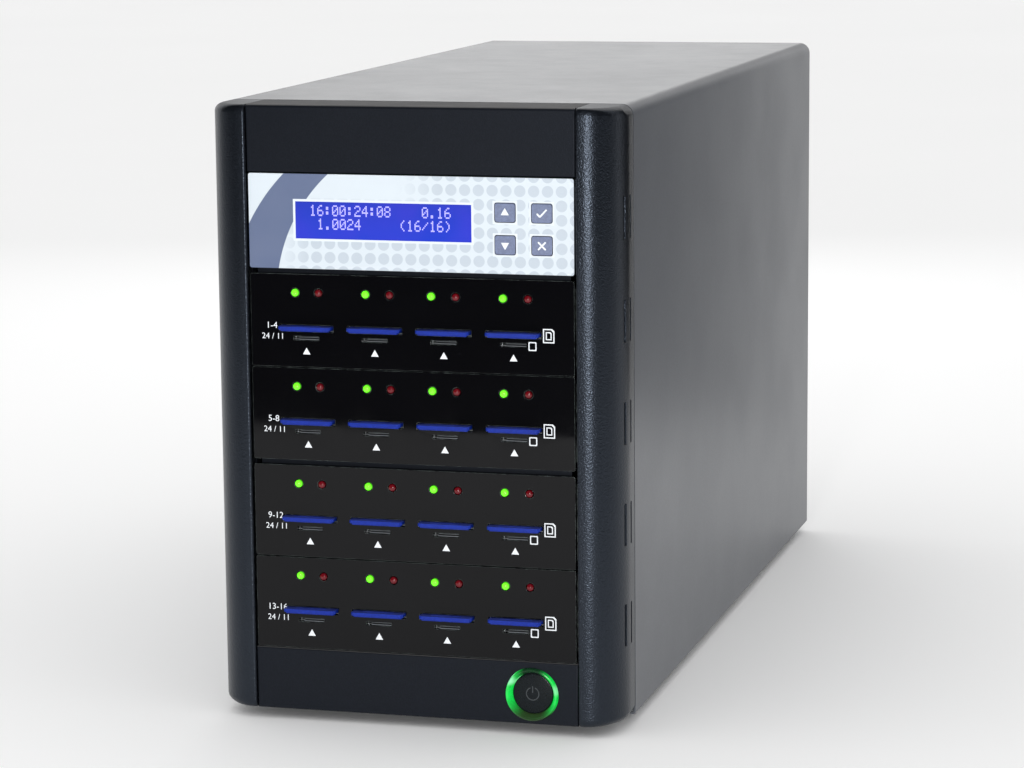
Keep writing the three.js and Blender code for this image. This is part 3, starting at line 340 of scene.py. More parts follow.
def face_outwards(piece):
    """Turns all faces outwards."""
    with editing(piece):
        bpy.ops.mesh.select_all(action="SELECT")
        bpy.ops.mesh.remove_doubles(threshold=1e-6)
        bpy.ops.mesh.normals_make_consistent(inside=False)


def apply_modifier(piece, kind, **values):
    """Adds a modifier with its values and applies it."""
    select_only(piece)
    modifier = piece.modifiers.new(kind.lower(), kind)
    for name, value in values.items():
        setattr(modifier, name, value)
    bpy.ops.object.modifier_apply(modifier=modifier.name)


def cut(piece, cutter, operation="DIFFERENCE"):
    """Cuts a piece with another, which is used up."""
    apply_modifier(piece, "BOOLEAN", object=cutter, operation=operation, solver="EXACT")
    bpy.data.meshes.remove(cutter.data)


def smooth(piece, angle=38):
    """Shades the round parts smooth and leaves the flat ones flat."""
    select_only(piece)
    bpy.ops.object.shade_smooth_by_angle(angle=math.radians(angle))
    apply_modifier(piece, "WEIGHTED_NORMAL", keep_sharp=True)


def soften(piece, width, steps=2, angle=35):
    """Gives the sharp edges a small rounding, and shades the piece."""
    apply_modifier(piece, "BEVEL", width=width, segments=steps, limit_method="ANGLE",
                   angle_limit=math.radians(angle))
    smooth(piece)


def joined(name, pieces):
    """Several pieces as one."""
    bpy.ops.object.select_all(action="DESELECT")
    for piece in pieces:
        piece.select_set(True)
    bpy.context.view_layer.objects.active = pieces[0]
    if len(pieces) > 1:
        bpy.ops.object.join()
    pieces[0].name = pieces[0].data.name = name
    return pieces[0]


def copy_of(piece, name, shift):
    """A copy with its own mesh, moved by shift."""
    twin = piece.copy()
    twin.data = piece.data.copy()
    twin.name = twin.data.name = name
    twin.data.transform(Matrix.Translation(shift))
    bpy.context.collection.objects.link(twin)
    return twin


def mirrored(piece, name):
    """A copy for the other side of the tower."""
    twin = copy_of(piece, name, (0, 0, 0))
    with editing(twin):
        bpy.ops.mesh.select_all(action="SELECT")
        bpy.ops.transform.resize(value=(-1, 1, 1), center_override=(0, 0, 0))
        bpy.ops.mesh.normals_make_consistent(inside=False)
    smooth(twin)
    return twin


def box(name, low, high):
    """A box between two corners."""
    low, high = Vector(low), Vector(high)
    bpy.ops.object.select_all(action="DESELECT")
    bpy.ops.mesh.primitive_cube_add(size=1, location=(low + high) / 2, scale=high - low)
    return settled(name)


def block(name, low, high, axis, radius, steps=2):
    """A box whose edges along one axis are rounded."""
    piece = box(name, low, high)
    round_edges(piece, running(axis), radius, steps)
    return piece


AXES = {"X": Vector((1, 0, 0)), "Y": Vector((0, 1, 0)), "Z": Vector((0, 0, 1))}
TURNS = {"X": (0, math.pi / 2, 0), "Y": (math.pi / 2, 0, 0), "Z": (0, 0, 0)}


def turned(name, centre, profile, sides, axis="Y", hollow=False):
    """A round piece, drawn out from a circle in steps, each a radius and a place on the axis."""
    along = AXES[axis]
    radius, level = profile[0]
    bpy.ops.object.select_all(action="DESELECT")
    bpy.ops.mesh.primitive_circle_add(
        vertices=sides, radius=radius, location=Vector(centre) + along * level,
        rotation=TURNS[axis])
    piece = settled(name)
    with editing(piece):
        bpy.ops.mesh.select_mode(type="EDGE")
        bpy.ops.mesh.select_all(action="SELECT")
        for next_radius, next_level in profile[1:]:
            bpy.ops.mesh.extrude_region_move(
                TRANSFORM_OT_translate={"value": along * (next_level - level)})
            size = next_radius / radius
            bpy.ops.transform.resize(
                value=[1 if part else size for part in along],
                center_override=Vector(centre) + along * next_level)
            radius, level = next_radius, next_level
        if not hollow:
            bpy.ops.mesh.edge_face_add()
            pick("EDGE", lambda edge: edge.is_boundary)
            bpy.ops.mesh.edge_face_add()
    face_outwards(piece)
    return piece


def rod(name, centre, radius, near, far, sides, axis="Y"):
    """A plain rod, for cutting round holes."""
    return turned(name, centre, [(radius, near), (radius, far)], sides, axis)


def printed(piece):
    """Gives a flat mark that faces the front the thickness of ink."""
    with editing(piece):
        bpy.ops.mesh.select_all(action="SELECT")
        bpy.ops.mesh.extrude_region_move(TRANSFORM_OT_translate={"value": (0, -INK, 0)})
    face_outwards(piece)
    return piece


def arrow(centre, radius, turn=0.0):
    """A printed triangle that faces the front."""
    bpy.ops.object.select_all(action="DESELECT")
    bpy.ops.mesh.primitive_circle_add(
        vertices=3, radius=radius, fill_type="NGON", location=centre,
        rotation=(math.pi / 2, turn, 0))
    return printed(settled("arrow"))


def outline(centre, half, line, corner, cut_corner=0.0):
    """A printed frame on a front face, with its upper right corner cut if asked for."""
    x, y, z = centre
    piece = box("sign", (x - half[0], y - INK, z - half[1]), (x + half[0], y, z + half[1]))
    inside = [size - line for size in half]
    hole = box("hole", (x - inside[0], y - 2 * INK, z - inside[1]),
               (x + inside[0], y + INK, z + inside[1]))
    for part, (side, top) in ((piece, half), (hole, inside)):
        if cut_corner:
            round_edges(part, running("y", x=x + side, z=z + top), cut_corner, steps=1)
        else:
            round_edges(part, running("y"), corner)
    cut(piece, hole)
    return piece


def words(text, size, place):
    """Printed figures that face the front."""
    bpy.ops.object.select_all(action="DESELECT")
    bpy.ops.object.text_add(location=place, rotation=(math.pi / 2, 0, 0))
    letters = bpy.context.active_object.data
    letters.body = text
    letters.size = size
    letters.align_x = letters.align_y = "CENTER"
    letters.extrude = INK / 2
    letters.resolution_u = 3
    bpy.ops.object.convert(target="MESH")
    return settled("figures")


def dress(piece, finish, slot, body, *nodes):
    """Gives a piece its finish and its body, and hides the nodes that it stands for; the slot is
    not used.
    """
    piece.data.materials.clear()
    piece.data.materials.append(bpy.data.materials[finish])
    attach(piece, body)
    if nodes:
        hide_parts(*nodes)


def row_shift(row):
    """How far a row is from the first one."""
    return Vector((0, 0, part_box(f"reader_front_{row}")[0].z - PLATE_LOW.z))


def fill_rows(first, name, finish, slot, replaced=None):
    """Copies the first row's piece to the other rows, and dresses all of them."""
    pieces = [first] + [copy_of(first, f"{name}_{row}", row_shift(row)) for row in ROWS[1:]]
    for row, piece in zip(ROWS, pieces):
        dress(piece, finish, slot, ROOT, *([f"{replaced}_{row}"] if replaced else []))


# Building materials

SPECK_DARK, WORN_LIGHT = 0.88, 2.6
DUST, DUST_MATT = (0.42, 0.41, 0.40, 1.0), 1.4
# Pale colour of the painted highlight along the reader plates' edges
PLATE_EDGE_HIGHLIGHT = (0.35, 0.42, 0.40, 1.0)
LENS_DARK, LENS_BRIGHT = mm(0.4), mm(0.8)
LENS_UNLIT, LENS_LIT = mm(5), mm(2)
BOARD_SKIN, BOARD_BLUR, CHIP_BLUR = mm(0.09), mm(0.03), mm(0.1)

# The label's print: circles as x, z and radius
LABEL_DOT = (mm(18.9), UNDERSIDE + mm(204.07))
LABEL_SPLIT, LABEL_SPLIT_REACH = UNDERSIDE + mm(229.5), mm(1)
LABEL_FADE_LOW = (mm(-62), mm(-44))
LABEL_FADE_HIGH = (mm(-8), mm(16))
LABEL_WHITE = linear("#D5DCE2")
LABEL_AGED = (0.45, 0.47, 0.5, 1.0)
BAND_OUTER = (mm(4.7), UNDERSIDE + mm(178.0), mm(87.9))
BAND_INNER = (mm(12.9), UNDERSIDE + mm(185.4), mm(74.2))
BAND_BLUR, DOT_BLUR = mm(0.08), mm(0.12)
KEYS = ("key_up", "key_down", "key_enter", "key_escape")
KEY_HIDDEN = mm(1)
GLASS_HIDDEN = mm(1.5)


def face_of(name, hidden):
    """The lower left and upper right corners of a node's face, without its hidden edge."""
    low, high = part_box(name)
    return (low.x + hidden, low.z + hidden), (high.x - hidden, high.z - hidden)


def key_face(name):
    """The two corners of a key's face, without its hidden flange."""
    return face_of(name, KEY_HIDDEN)


SCREEN = face_of("display_window", GLASS_HIDDEN)


class Wiring:
    """A node tree, with short ways to add nodes to it and wire them."""

    def __init__(self, tree, end):
        self.tree, self.end = tree, end

    def feed(self, made, inputs):
        """Sets or wires a node's inputs."""
        for name, value in inputs.items():
            if isinstance(value, bpy.types.NodeSocket):
                self.tree.links.new(value, made.inputs[name])
            else:
                made.inputs[name].default_value = value

    def give(self, inputs):
        """Sets or wires the inputs of the tree's last node."""
        self.feed(self.end, inputs)

    def add(self, kind, inputs=None, **settings):
        """A node with its settings, and its inputs set or wired."""
        made = self.tree.nodes.new(kind)
        for name, value in settings.items():
            setattr(made, name, value)
        self.feed(made, inputs or {})
        return made

    def sum_of(self, operation, first, second=0.0, clamp=False):
        """One sum on two values or sockets."""
        return self.add("ShaderNodeMath", {0: first, 1: second},
                        operation=operation, use_clamp=clamp).outputs[0]

    def plus(self, first, second, clamp=False):
        """Two values added."""
        return self.sum_of("ADD", first, second, clamp)

    def minus(self, first, second):
        """The second value taken from the first."""
        return self.sum_of("SUBTRACT", first, second)

    def times(self, first, *others):
        """Several values multiplied."""
        for other in others:
            first = self.sum_of("MULTIPLY", first, other)
        return first

    def span(self, across, up):
        """The straight distance that two distances make."""
        return self.sum_of("SQRT", self.plus(self.times(across, across), self.times(up, up)))

    def ramp(self, value, start, end, low=0.0, high=1.0, kind="SMOOTHSTEP"):
        """A value that rises smoothly from low to high between two places."""
        return self.add("ShaderNodeMapRange", {
            "Value": value, "From Min": start, "From Max": end, "To Min": low, "To Max": high,
        }, interpolation_type=kind).outputs["Result"]

    def around(self, value, middle, reach):
        """A value that rises smoothly round a place, or falls if the reach is negative."""
        return self.ramp(value, middle - reach, middle + reach)

    def mix(self, mask, first, second):
        """A colour between two, by a mask."""
        return self.add("ShaderNodeMix", {0: mask, 6: first, 7: second},
                        data_type="RGBA").outputs[2]

    def place(self):
        """The place on the piece."""
        return self.add("ShaderNodeTexCoord").outputs["Object"]

    def axes(self):
        """The place's X, Y and Z."""
        return self.add("ShaderNodeSeparateXYZ", {"Vector": self.place()}).outputs

    def moved(self, **settings):
        """The place, turned or drawn out along some axes."""
        return self.add("ShaderNodeMapping", {"Vector": self.place(), **settings}).outputs["Vector"]

    def cloud(self, scale, detail=2.0, roughness=0.5, place=None):
        """Soft noise of a given fineness."""
        return self.add("ShaderNodeTexNoise", {
            "Vector": place or self.place(), "Scale": scale, "Detail": detail,
            "Roughness": roughness}).outputs["Fac"]

    def cells(self, scale, output, feature="F1"):
        """Small cells: the distance from their middles, or a colour for each."""
        return self.add("ShaderNodeTexVoronoi", {"Vector": self.place(), "Scale": scale},
                        feature=feature).outputs[output]

    def shared(self, name, **values):
        """One of the shared effects, with its own values."""
        return self.add("ShaderNodeGroup", values, node_tree=bpy.data.node_groups[name]).outputs

    def gloss(self, low, high, scale=20.0):
        """A roughness that wanders between two values."""
        return self.shared("uneven_gloss", Scale=scale, Low=low, High=high)["Roughness"]


class Effect(Wiring):
    """A shared effect: a node group with named inputs and outputs."""

    def __init__(self, name, inputs, *outputs):
        tree = bpy.data.node_groups.new(name, "ShaderNodeTree")
        for label, default in inputs.items():
            tree.interface.new_socket(
                label, in_out="INPUT", socket_type="NodeSocketFloat").default_value = default
        for label in outputs:
            tree.interface.new_socket(label, in_out="OUTPUT", socket_type="NodeSocketFloat")
        super().__init__(tree, tree.nodes.new("NodeGroupOutput"))
        self.given = self.add("NodeGroupInput").outputs


class Finish(Wiring):
    """A new material, whose shader is fed."""

    def __init__(self, name):
        material = bpy.data.materials.new(name)
        material.use_nodes = True
        nodes = material.node_tree.nodes
        shader = next(each for each in nodes if each.type == "BSDF_PRINCIPLED")
        super().__init__(material.node_tree, shader)

    def relief(self, height, depth):
        """Gives the shader the relief of a height."""
        bump = self.add("ShaderNodeBump", {"Height": height, "Distance": depth, "Strength": 1.0})
        self.give({"Normal": bump.outputs["Normal"]})


def make_fine_grain():
    """Moulded or sprayed grain: its height, and its light and dark specks."""
    effect = Effect("fine_grain", {"Scale": 1000.0}, "Height", "Specks")
    scale = effect.given["Scale"]
    pits = effect.cells(scale, "Distance", feature="SMOOTH_F1")
    cloud = effect.cloud(effect.times(scale, 0.5), roughness=0.6)
    effect.give({"Height": effect.plus(pits, cloud), "Specks": effect.ramp(cloud, 0.35, 0.68)})


def make_uneven_gloss():
    """Roughness that wanders between two values, as on handled surfaces."""
    effect = Effect("uneven_gloss", {"Scale": 20.0, "Low": 0.3, "High": 0.5}, "Roughness")
    given = effect.given
    cloud = effect.cloud(given["Scale"], detail=4.0, roughness=0.6)
    effect.give({"Roughness": effect.ramp(cloud, 0.3, 0.7, given["Low"], given["High"])})


def make_settled_dust():
    """Thin dust on what faces upwards."""
    effect = Effect("settled_dust", {"Amount": 0.2}, "Mask")
    normal = effect.add("ShaderNodeNewGeometry").outputs["Normal"]
    up = effect.add("ShaderNodeSeparateXYZ", {"Vector": normal}).outputs["Z"]
    cloud = effect.cloud(60.0, detail=6.0, roughness=0.7)
    patches = effect.ramp(cloud, 0.3, 0.75, low=0.7)
    effect.give({"Mask": effect.times(effect.ramp(up, 0.6, 0.98), patches,
                                      effect.given["Amount"])})


def make_edge_wear_and_highlight():
    """A mask in patches along the edges, for lighter wear and for a painted edge highlight."""
    effect = Effect("edge_wear_and_highlight", {"Radius": 0.0006, "Amount": 0.4}, "Mask")
    given = effect.given
    soft = effect.add("ShaderNodeBevel", {"Radius": given["Radius"]}, samples=4)
    sharp = effect.add("ShaderNodeNewGeometry").outputs["Normal"]
    same = effect.add("ShaderNodeVectorMath", {0: soft.outputs["Normal"], 1: sharp},
                      operation="DOT_PRODUCT").outputs["Value"]
    edge_patches = effect.ramp(effect.cloud(240.0, detail=4.0, roughness=0.7), 0.35, 0.65)
    effect.give({"Mask": effect.times(effect.ramp(same, 0.985, 0.86), edge_patches,
                                      given["Amount"])})


def lighter(paint, by):
    """A paint made lighter or darker."""
    return [min(1.0, part * by) for part in paint[:3]] + [1.0]


def between(finish, mask, paint, dark, light):
    """Two shades of one paint, by a mask."""
    return finish.mix(mask, lighter(paint, dark), lighter(paint, light))


def grained(name, paint, grain, depth, gloss, specks=1.25, wear=0.35, dust=0.08,
            metallic=0.0, tint=None, shine=0.5):
    """A paint or plastic with grain, uneven gloss, worn edges and a little dust."""
    finish = Finish(name)
    marks = finish.shared("fine_grain", Scale=grain)
    edge_patches = finish.shared("edge_wear_and_highlight", Amount=wear)["Mask"]
    dusty = finish.shared("settled_dust", Amount=dust)["Mask"]
    base = between(finish, marks["Specks"], paint, SPECK_DARK, specks)
    base = finish.mix(edge_patches, base, lighter(paint, WORN_LIGHT))
    matt = finish.plus(finish.gloss(*gloss), finish.times(dusty, DUST_MATT), clamp=True)
    finish.give({"Base Color": finish.mix(dusty, base, DUST), "Roughness": matt,
                 "Metallic": metallic, "Specular IOR Level": shine})
    if tint:
        finish.give({"Specular Tint": tint})
    finish.relief(marks["Height"], depth)


def make_steel(name, paint, grain):
    """Zinc-plated sheet: drawn grain along one way, and faint spangles."""
    finish = Finish(name)
    drawn = finish.cloud(60.0, detail=3.0, roughness=0.7, place=finish.moved(Scale=grain))
    spangle = finish.add("ShaderNodeSeparateXYZ", {"Vector": finish.cells(160.0, "Color")})
    base = between(finish, drawn, paint, 0.8, 1.08)
    base = finish.mix(finish.times(spangle.outputs["X"], 0.25), base, lighter(paint, 0.62))
    edge_patches = finish.shared("edge_wear_and_highlight", Amount=0.4)["Mask"]
    finish.give({"Base Color": finish.mix(edge_patches, base, lighter(paint, 1.4)),
                 "Roughness": finish.ramp(drawn, 0.3, 0.7, low=0.3, high=0.46),
                 "Metallic": 0.9})
    finish.relief(drawn, depth=mm(0.02))


def make_plate_gloss(paint):
    """Polished black acrylic, not quite flat, with faint wiping marks and a pale painted highlight
    in patches along its edges.
    """
    finish = Finish("plate_gloss")
    # The pale edge colour is a painted highlight along the plate's polished edges
    edge_patches = finish.shared("edge_wear_and_highlight", Radius=mm(0.3), Amount=0.5)["Mask"]
    base = between(finish, finish.cloud(30.0, detail=3.0), paint, 0.8, 1.3)
    finish.give({"Base Color": finish.mix(edge_patches, base, PLATE_EDGE_HIGHLIGHT),
                 "Roughness": finish.gloss(0.02, 0.07, scale=45.0), "IOR": 1.3})
    waves = finish.cloud(16.0, detail=1.0, roughness=0.4,
                         place=finish.moved(Scale=(1.0, 1.0, 1.6)))
    finish.relief(waves, depth=mm(0.04))


def make_label_print(look):
    """The display plate's label: a curved band, a grid of dots, and white outlines."""
    finish = Finish("label_print")
    axes = finish.axes()
    x, z = axes["X"], axes["Z"]

    def away_from(circle):
        """Distance from the middle of a circle."""
        return finish.span(finish.minus(x, circle[0]), finish.minus(z, circle[1]))

    def within(value, low, high):
        """A mask of a stretch, made longer by the outline at both ends."""
        off = finish.sum_of("ABSOLUTE", finish.minus(value, (low + high) / 2))
        return finish.sum_of("LESS_THAN", off, (high - low) / 2 + look.outline)

    step = look.dot_pitch
    cells = []
    for value, start in zip((x, z), LABEL_DOT):
        moved = finish.sum_of("DIVIDE", finish.minus(value, start - step / 2), step)
        cells.append(finish.times(finish.minus(finish.sum_of("FRACT", moved), 0.5), step))
    dot = finish.around(finish.span(*cells), look.dot, -DOT_BLUR)
    above = finish.around(z, LABEL_SPLIT, LABEL_SPLIT_REACH)
    fade = finish.plus(
        finish.times(finish.ramp(x, *LABEL_FADE_HIGH), above),
        finish.times(finish.ramp(x, *LABEL_FADE_LOW), finish.minus(1.0, above)))
    base = finish.mix(finish.times(dot, fade), look.paper, look.dots)
    outer = finish.around(away_from(BAND_OUTER), BAND_OUTER[2], -BAND_BLUR)
    inner = finish.around(away_from(BAND_INNER), BAND_INNER[2], BAND_BLUR)
    left = finish.sum_of("LESS_THAN", x, BAND_INNER[0])
    base = finish.mix(finish.times(outer, inner, left), base, look.band)
    for low, high in (SCREEN, *map(key_face, KEYS)):
        window = finish.times(within(x, low[0], high[0]), within(z, low[1], high[1]))
        base = finish.mix(window, base, LABEL_WHITE)
    aged = finish.ramp(finish.cloud(25.0, detail=3.0), 0.3, 0.8, high=0.06)
    finish.give({"Base Color": finish.mix(aged, base, LABEL_AGED),
                 "Roughness": finish.gloss(0.32, 0.45, scale=60.0)})
    fibre = finish.cloud(900.0, detail=3.0, roughness=0.6)
    finish.relief(fibre, depth=mm(0.01))


def make_screen(look):
    """The lit screen, bluest along its lower edge, with a faint cloud of violet."""
    finish = Finish("screen")
    axes = finish.axes()
    (left, low), (right, high) = SCREEN
    across = finish.ramp(axes["X"], left, right, kind="LINEAR")
    down = finish.ramp(axes["Z"], low, high, 1.0, 0.0, kind="LINEAR")
    cloud = finish.ramp(finish.cloud(45.0), 0.3, 0.7)
    blue = finish.mix(across, look.screen, linear("#3447D4"))
    blue = finish.mix(finish.times(down, 0.6), blue, linear("#2A4CF0"))
    blue = finish.mix(finish.times(cloud, 0.25), blue, linear("#5A38D0"))
    finish.give({"Emission Color": blue, "Emission Strength": look.light,
                 "Base Color": finish.mix(cloud, linear("#10164A"), linear("#161C5C")),
                 "Roughness": finish.gloss(0.1, 0.18, scale=50.0)})


def make_screen_dots(paint, strength):
    """The screen's lit dots, a little uneven."""
    finish = Finish("screen_dots")
    cloud = finish.cloud(500.0, detail=3.0)
    finish.give({"Emission Color": between(finish, cloud, paint, 0.8, 1.15),
                 "Emission Strength": strength,
                 "Base Color": between(finish, cloud, paint, 0.5, 0.8),
                 "Roughness": finish.gloss(0.25, 0.4)})


def make_ring_light(look):
    """The power button's ring: brightest at the left and the right, dull at the top and below."""
    finish = Finish("lit_ring")
    axes = finish.axes()
    middle = middle_of("power_ring")
    across = finish.sum_of("DIVIDE", finish.minus(axes["X"], middle.x), look.ring_outer)
    up = finish.sum_of("DIVIDE", finish.minus(axes["Z"], middle.z), look.ring_outer)

    def spot(sideways, start, end, strength):
        """A bright spot at one side, which fades below start and above end."""
        return finish.times(finish.ramp(across, *sideways), finish.ramp(up, *start),
                            finish.ramp(up, *end), strength)

    sides = finish.ramp(finish.sum_of("ABSOLUTE", across), 0.25, 0.85)
    uneven = finish.ramp(finish.cloud(700.0, detail=3.0), 0.2, 0.6, low=0.7)
    lit = finish.times(sides, finish.ramp(up, -1.0, -0.1), uneven)
    dull = finish.mix(finish.ramp(up, -0.9, -0.1), linear("#26341A"), linear("#0A2214"))
    spots = finish.plus(spot((-0.55, -0.8), (0.25, 0.5), (0.8, 0.55), 0.8),
                        spot((0.7, 0.88), (-0.05, 0.15), (0.5, 0.25), 0.45), clamp=True)
    glow = finish.mix(lit, dull, look.ring_green)
    finish.give({"Emission Color": finish.mix(spots, glow, linear("#B8FFD8")),
                 "Emission Strength": look.glow,
                 "Base Color": finish.mix(lit, linear("#123018"), linear("#1C8038")),
                 "Roughness": finish.gloss(0.12, 0.25)})


def make_lens(name, paint, strength, rim):
    """A lamp's lens: its base colour is painted lighter at its tip and darker where it meets the
    plate, a painted highlight and painted shade; a lit lens also glows brightest at its tip.
    """
    finish = Finish(name)
    depth = finish.axes()["Y"]
    # Painted shade where the lens meets the plate, and a painted lighter tip
    tip = finish.ramp(depth, FRONT + LENS_DARK, FRONT - LENS_BRIGHT)
    lit = finish.times(tip, finish.ramp(finish.cloud(1500.0), 0.2, 0.6, low=0.75))
    lens = finish.mix(lit, lighter(paint, rim), paint)
    finish.give({"Base Color": lens, "Roughness": finish.gloss(0.05, 0.16, scale=300.0)})
    if strength:
        in_front = finish.ramp(depth, FRONT + LENS_UNLIT, FRONT + LENS_LIT)
        finish.give({"Emission Color": finish.mix(in_front, (0.0, 0.0, 0.0, 1.0), lens),
                     "Emission Strength": strength})


def make_board(name, low, high, chips, axis="Z", turn=(0, 0, 0)):
    """A circuit board: green mask with traces, pads, steel sockets and black chips."""
    finish = Finish(name)
    green = linear("#175231")
    axes = finish.axes()
    tracks = finish.add("ShaderNodeTexBrick", {
        "Vector": finish.moved(Rotation=turn), "Scale": 260.0, "Mortar Size": 0.05,
        "Color1": (0, 0, 0, 1), "Color2": (0, 0, 0, 1), "Mortar": (1, 1, 1, 1),
    }).outputs["Fac"]
    mask = finish.mix(tracks, green, lighter(green, 1.7))
    mask = finish.mix(finish.ramp(finish.cells(420.0, "Distance"), 0.16, 0.1), mask,
                      linear("#B9B48E"))
    off_board = finish.plus(
        finish.around(axes[axis], low - BOARD_SKIN, -BOARD_BLUR),
        finish.around(axes[axis], high + BOARD_SKIN, BOARD_BLUR), clamp=True)
    steel = finish.mix(finish.cloud(300.0, detail=3.0), linear("#8E9295"), linear("#B4B8BA"))
    black = finish.mix(finish.cloud(800.0, detail=3.0), linear("#141516"), linear("#202224"))
    at_chips = finish.around(axes["Y"], chips, CHIP_BLUR)
    metal = finish.times(off_board, finish.minus(1.0, at_chips), 0.9)
    finish.give({"Base Color": finish.mix(off_board, mask, finish.mix(at_chips, steel, black)),
                 "Metallic": metal, "Roughness": finish.gloss(0.3, 0.5, scale=60.0)})
    finish.relief(tracks, depth=mm(0.03))


# Operators, one for each piece or group of like pieces

# The circuit boards: their sockets' faces below a card's middle, and where their chips begin
BOARD_THICKNESS, SOCKET_DROP = mm(1.6), mm(1.75)
READER_CHIPS, DISPLAY_BOARD, DISPLAY_CHIPS = mm(34), mm(13), mm(20)


class TOWER_OT_finishes(bpy.types.Operator):
    """Makes the materials of every piece"""
    bl_idname = "tower.finishes"
    bl_label = "Finishes"

    def execute(self, context):
        scene = context.scene
        case, front, readers = scene.tower_case, scene.tower_front, scene.tower_readers
        display, power = scene.tower_display, scene.tower_power
        make_fine_grain()
        make_uneven_gloss()
        make_settled_dust()
        make_edge_wear_and_highlight()
        grained("powder_coat", case.paint, grain=2600.0, depth=mm(0.016), gloss=(0.32, 0.345),
                specks=1.12, wear=0.2, dust=0.1, shine=0.8)
        grained("rear_coat", case.rear_paint, grain=1500.0, depth=mm(0.04), gloss=(0.38, 0.48))
        grained("pillar_grain", front.pillar_plastic, grain=1800.0, depth=mm(0.09),
                gloss=(0.28, 0.32), specks=1.5, wear=0.15, dust=0.25,
                tint=(0.68, 0.8, 1.0, 1.0), shine=0.52)
        grained("panel_plastic", front.panel_plastic, grain=2600.0, depth=mm(0.03),
                gloss=(0.42, 0.52), specks=1.1, wear=0.25, dust=0.3,
                tint=(0.8, 0.86, 1.0, 1.0), shine=0.17)
        grained("rubber", case.rubber, grain=900.0, depth=mm(0.06), gloss=(0.8, 0.95), dust=0.3)
        grained("cap_plastic", power.cap_plastic, grain=2400.0, depth=mm(0.02),
                gloss=(0.22, 0.28), shine=0.2)
        grained("moulded_black", linear("#131415"), grain=1400.0, depth=mm(0.05),
                gloss=(0.45, 0.6))
        grained("key_satin", display.key_colour, grain=2200.0, depth=mm(0.03),
                gloss=(0.35, 0.45), specks=1.08)
        grained("card_satin", readers.card_blue, grain=2200.0, depth=mm(0.03),
                gloss=(0.34, 0.42), specks=1.12, wear=0.3, shine=0.2)
        grained("card_label", linear("#C9CED6"), grain=1200.0, depth=mm(0.02),
                gloss=(0.4, 0.5), specks=1.05)
        grained("contact_gold", linear("#C9A040"), grain=3000.0, depth=mm(0.01),
                gloss=(0.2, 0.35), specks=1.1, metallic=1.0)
        grained("print_white", linear("#E4E8EC"), grain=2500.0, depth=mm(0.02),
                gloss=(0.5, 0.6), specks=1.05, wear=0.0)
        grained("print_grey", linear("#30353A"), grain=2500.0, depth=mm(0.02),
                gloss=(0.4, 0.5), specks=1.05, wear=0.0)
        grained("dull_steel", linear("#5C6064"), grain=2500.0, depth=mm(0.01),
                gloss=(0.4, 0.5), specks=1.1)
        make_steel("sheet_steel", case.steel, (1.0, 0.03, 1.0))
        make_steel("screw_steel", linear("#B7BABD"), (1.0, 1.0, 1.0))
        make_plate_gloss(readers.plate_gloss)
        make_label_print(display)
        make_screen(display)
        make_screen_dots(display.letters, display.light)
        make_ring_light(power)
        make_lens("green_lamp", readers.green, strength=readers.glow, rim=0.35)
        make_lens("red_lamp", readers.red, strength=0.0, rim=0.4)
        for row in ROWS:
            card = middle_of(f"sd_card_{(row - 1) * SLOTS + 1}")
            top = card.z - SOCKET_DROP
            make_board(f"reader_board_{row}", top - BOARD_THICKNESS, top, FRONT + READER_CHIPS)
        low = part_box("controller_board")[0]
        make_board("controller_board", low.z, low.z + BOARD_THICKNESS, low.y)
        front_face = FRONT + DISPLAY_BOARD
        make_board("display_board", front_face, front_face + BOARD_THICKNESS,
                   FRONT + DISPLAY_CHIPS, axis="Y", turn=TURNS["Y"])
        return {"FINISHED"}


def open_middle(piece, test, half, top=None):
    """Takes the middle out of a flat side, and leaves a strip at its edges."""
    planes = [((side * half, 0, 0), (1, 0, 0)) for side in (-1, 1)]
    if top:
        planes.append(((0, 0, top), (0, 0, 1)))
    for point, direction in planes:
        with editing(piece):
            pick("FACE", test)
            bpy.ops.mesh.bisect(plane_co=point, plane_no=direction)
    remove_faces(piece, lambda face: test(face) and all(
        abs(v.co.x) < half + CLOSE and (top is None or v.co.z < top + CLOSE)
        for v in face.verts))


def upper_folds(low, high):
    """A test for the two long upper edges between two corners."""
    return either(*[running("y", x=x, z=high.z) for x in (low.x, high.x)])


# The cover: a fold is sharper than this angle
COVER_SOFT, FOLD_ANGLE = mm(0.35), 1.2


class TOWER_OT_cover(bpy.types.Operator):
    """Folds the painted steel cover, with its hems and its rear flange"""
    bl_idname = "tower.cover"
    bl_label = "Cover"

    def execute(self, context):
        sizes = context.scene.tower_case
        cover = box("cover", CASE_LOW, CASE_HIGH)
        round_edges(cover, upper_folds(CASE_LOW, CASE_HIGH), sizes.shoulder, steps=10)
        remove_faces(cover, lying_at(y=CASE_LOW.y))
        open_middle(cover, lying_at(z=UNDERSIDE), CASE_HIGH.x - sizes.hem)
        open_middle(cover, lying_at(y=REAR), CASE_HIGH.x - sizes.flange, TOP - sizes.flange)
        round_edges(cover, lambda edge: len(edge.link_faces) == 2
                    and edge.calc_face_angle(0) > FOLD_ANGLE, sizes.fold)
        apply_modifier(cover, "SOLIDIFY", thickness=sizes.sheet, offset=-1)
        soften(cover, COVER_SOFT)
        dress(cover, "powder_coat", "cover_paint", ROOT, "outer_cover")
        return {"FINISHED"}


# The pillars: how far their blocks run on before they are trimmed, and their slots
PILLAR_OVERRUN, PILLAR_SOFT = mm(5), mm(0.25)
PILLAR_REAR_RUN, PILLAR_SEAM_RUN = mm(2), mm(4)
SLOT_PAIRS = 5
SLOT_END_SHARE = 0.35


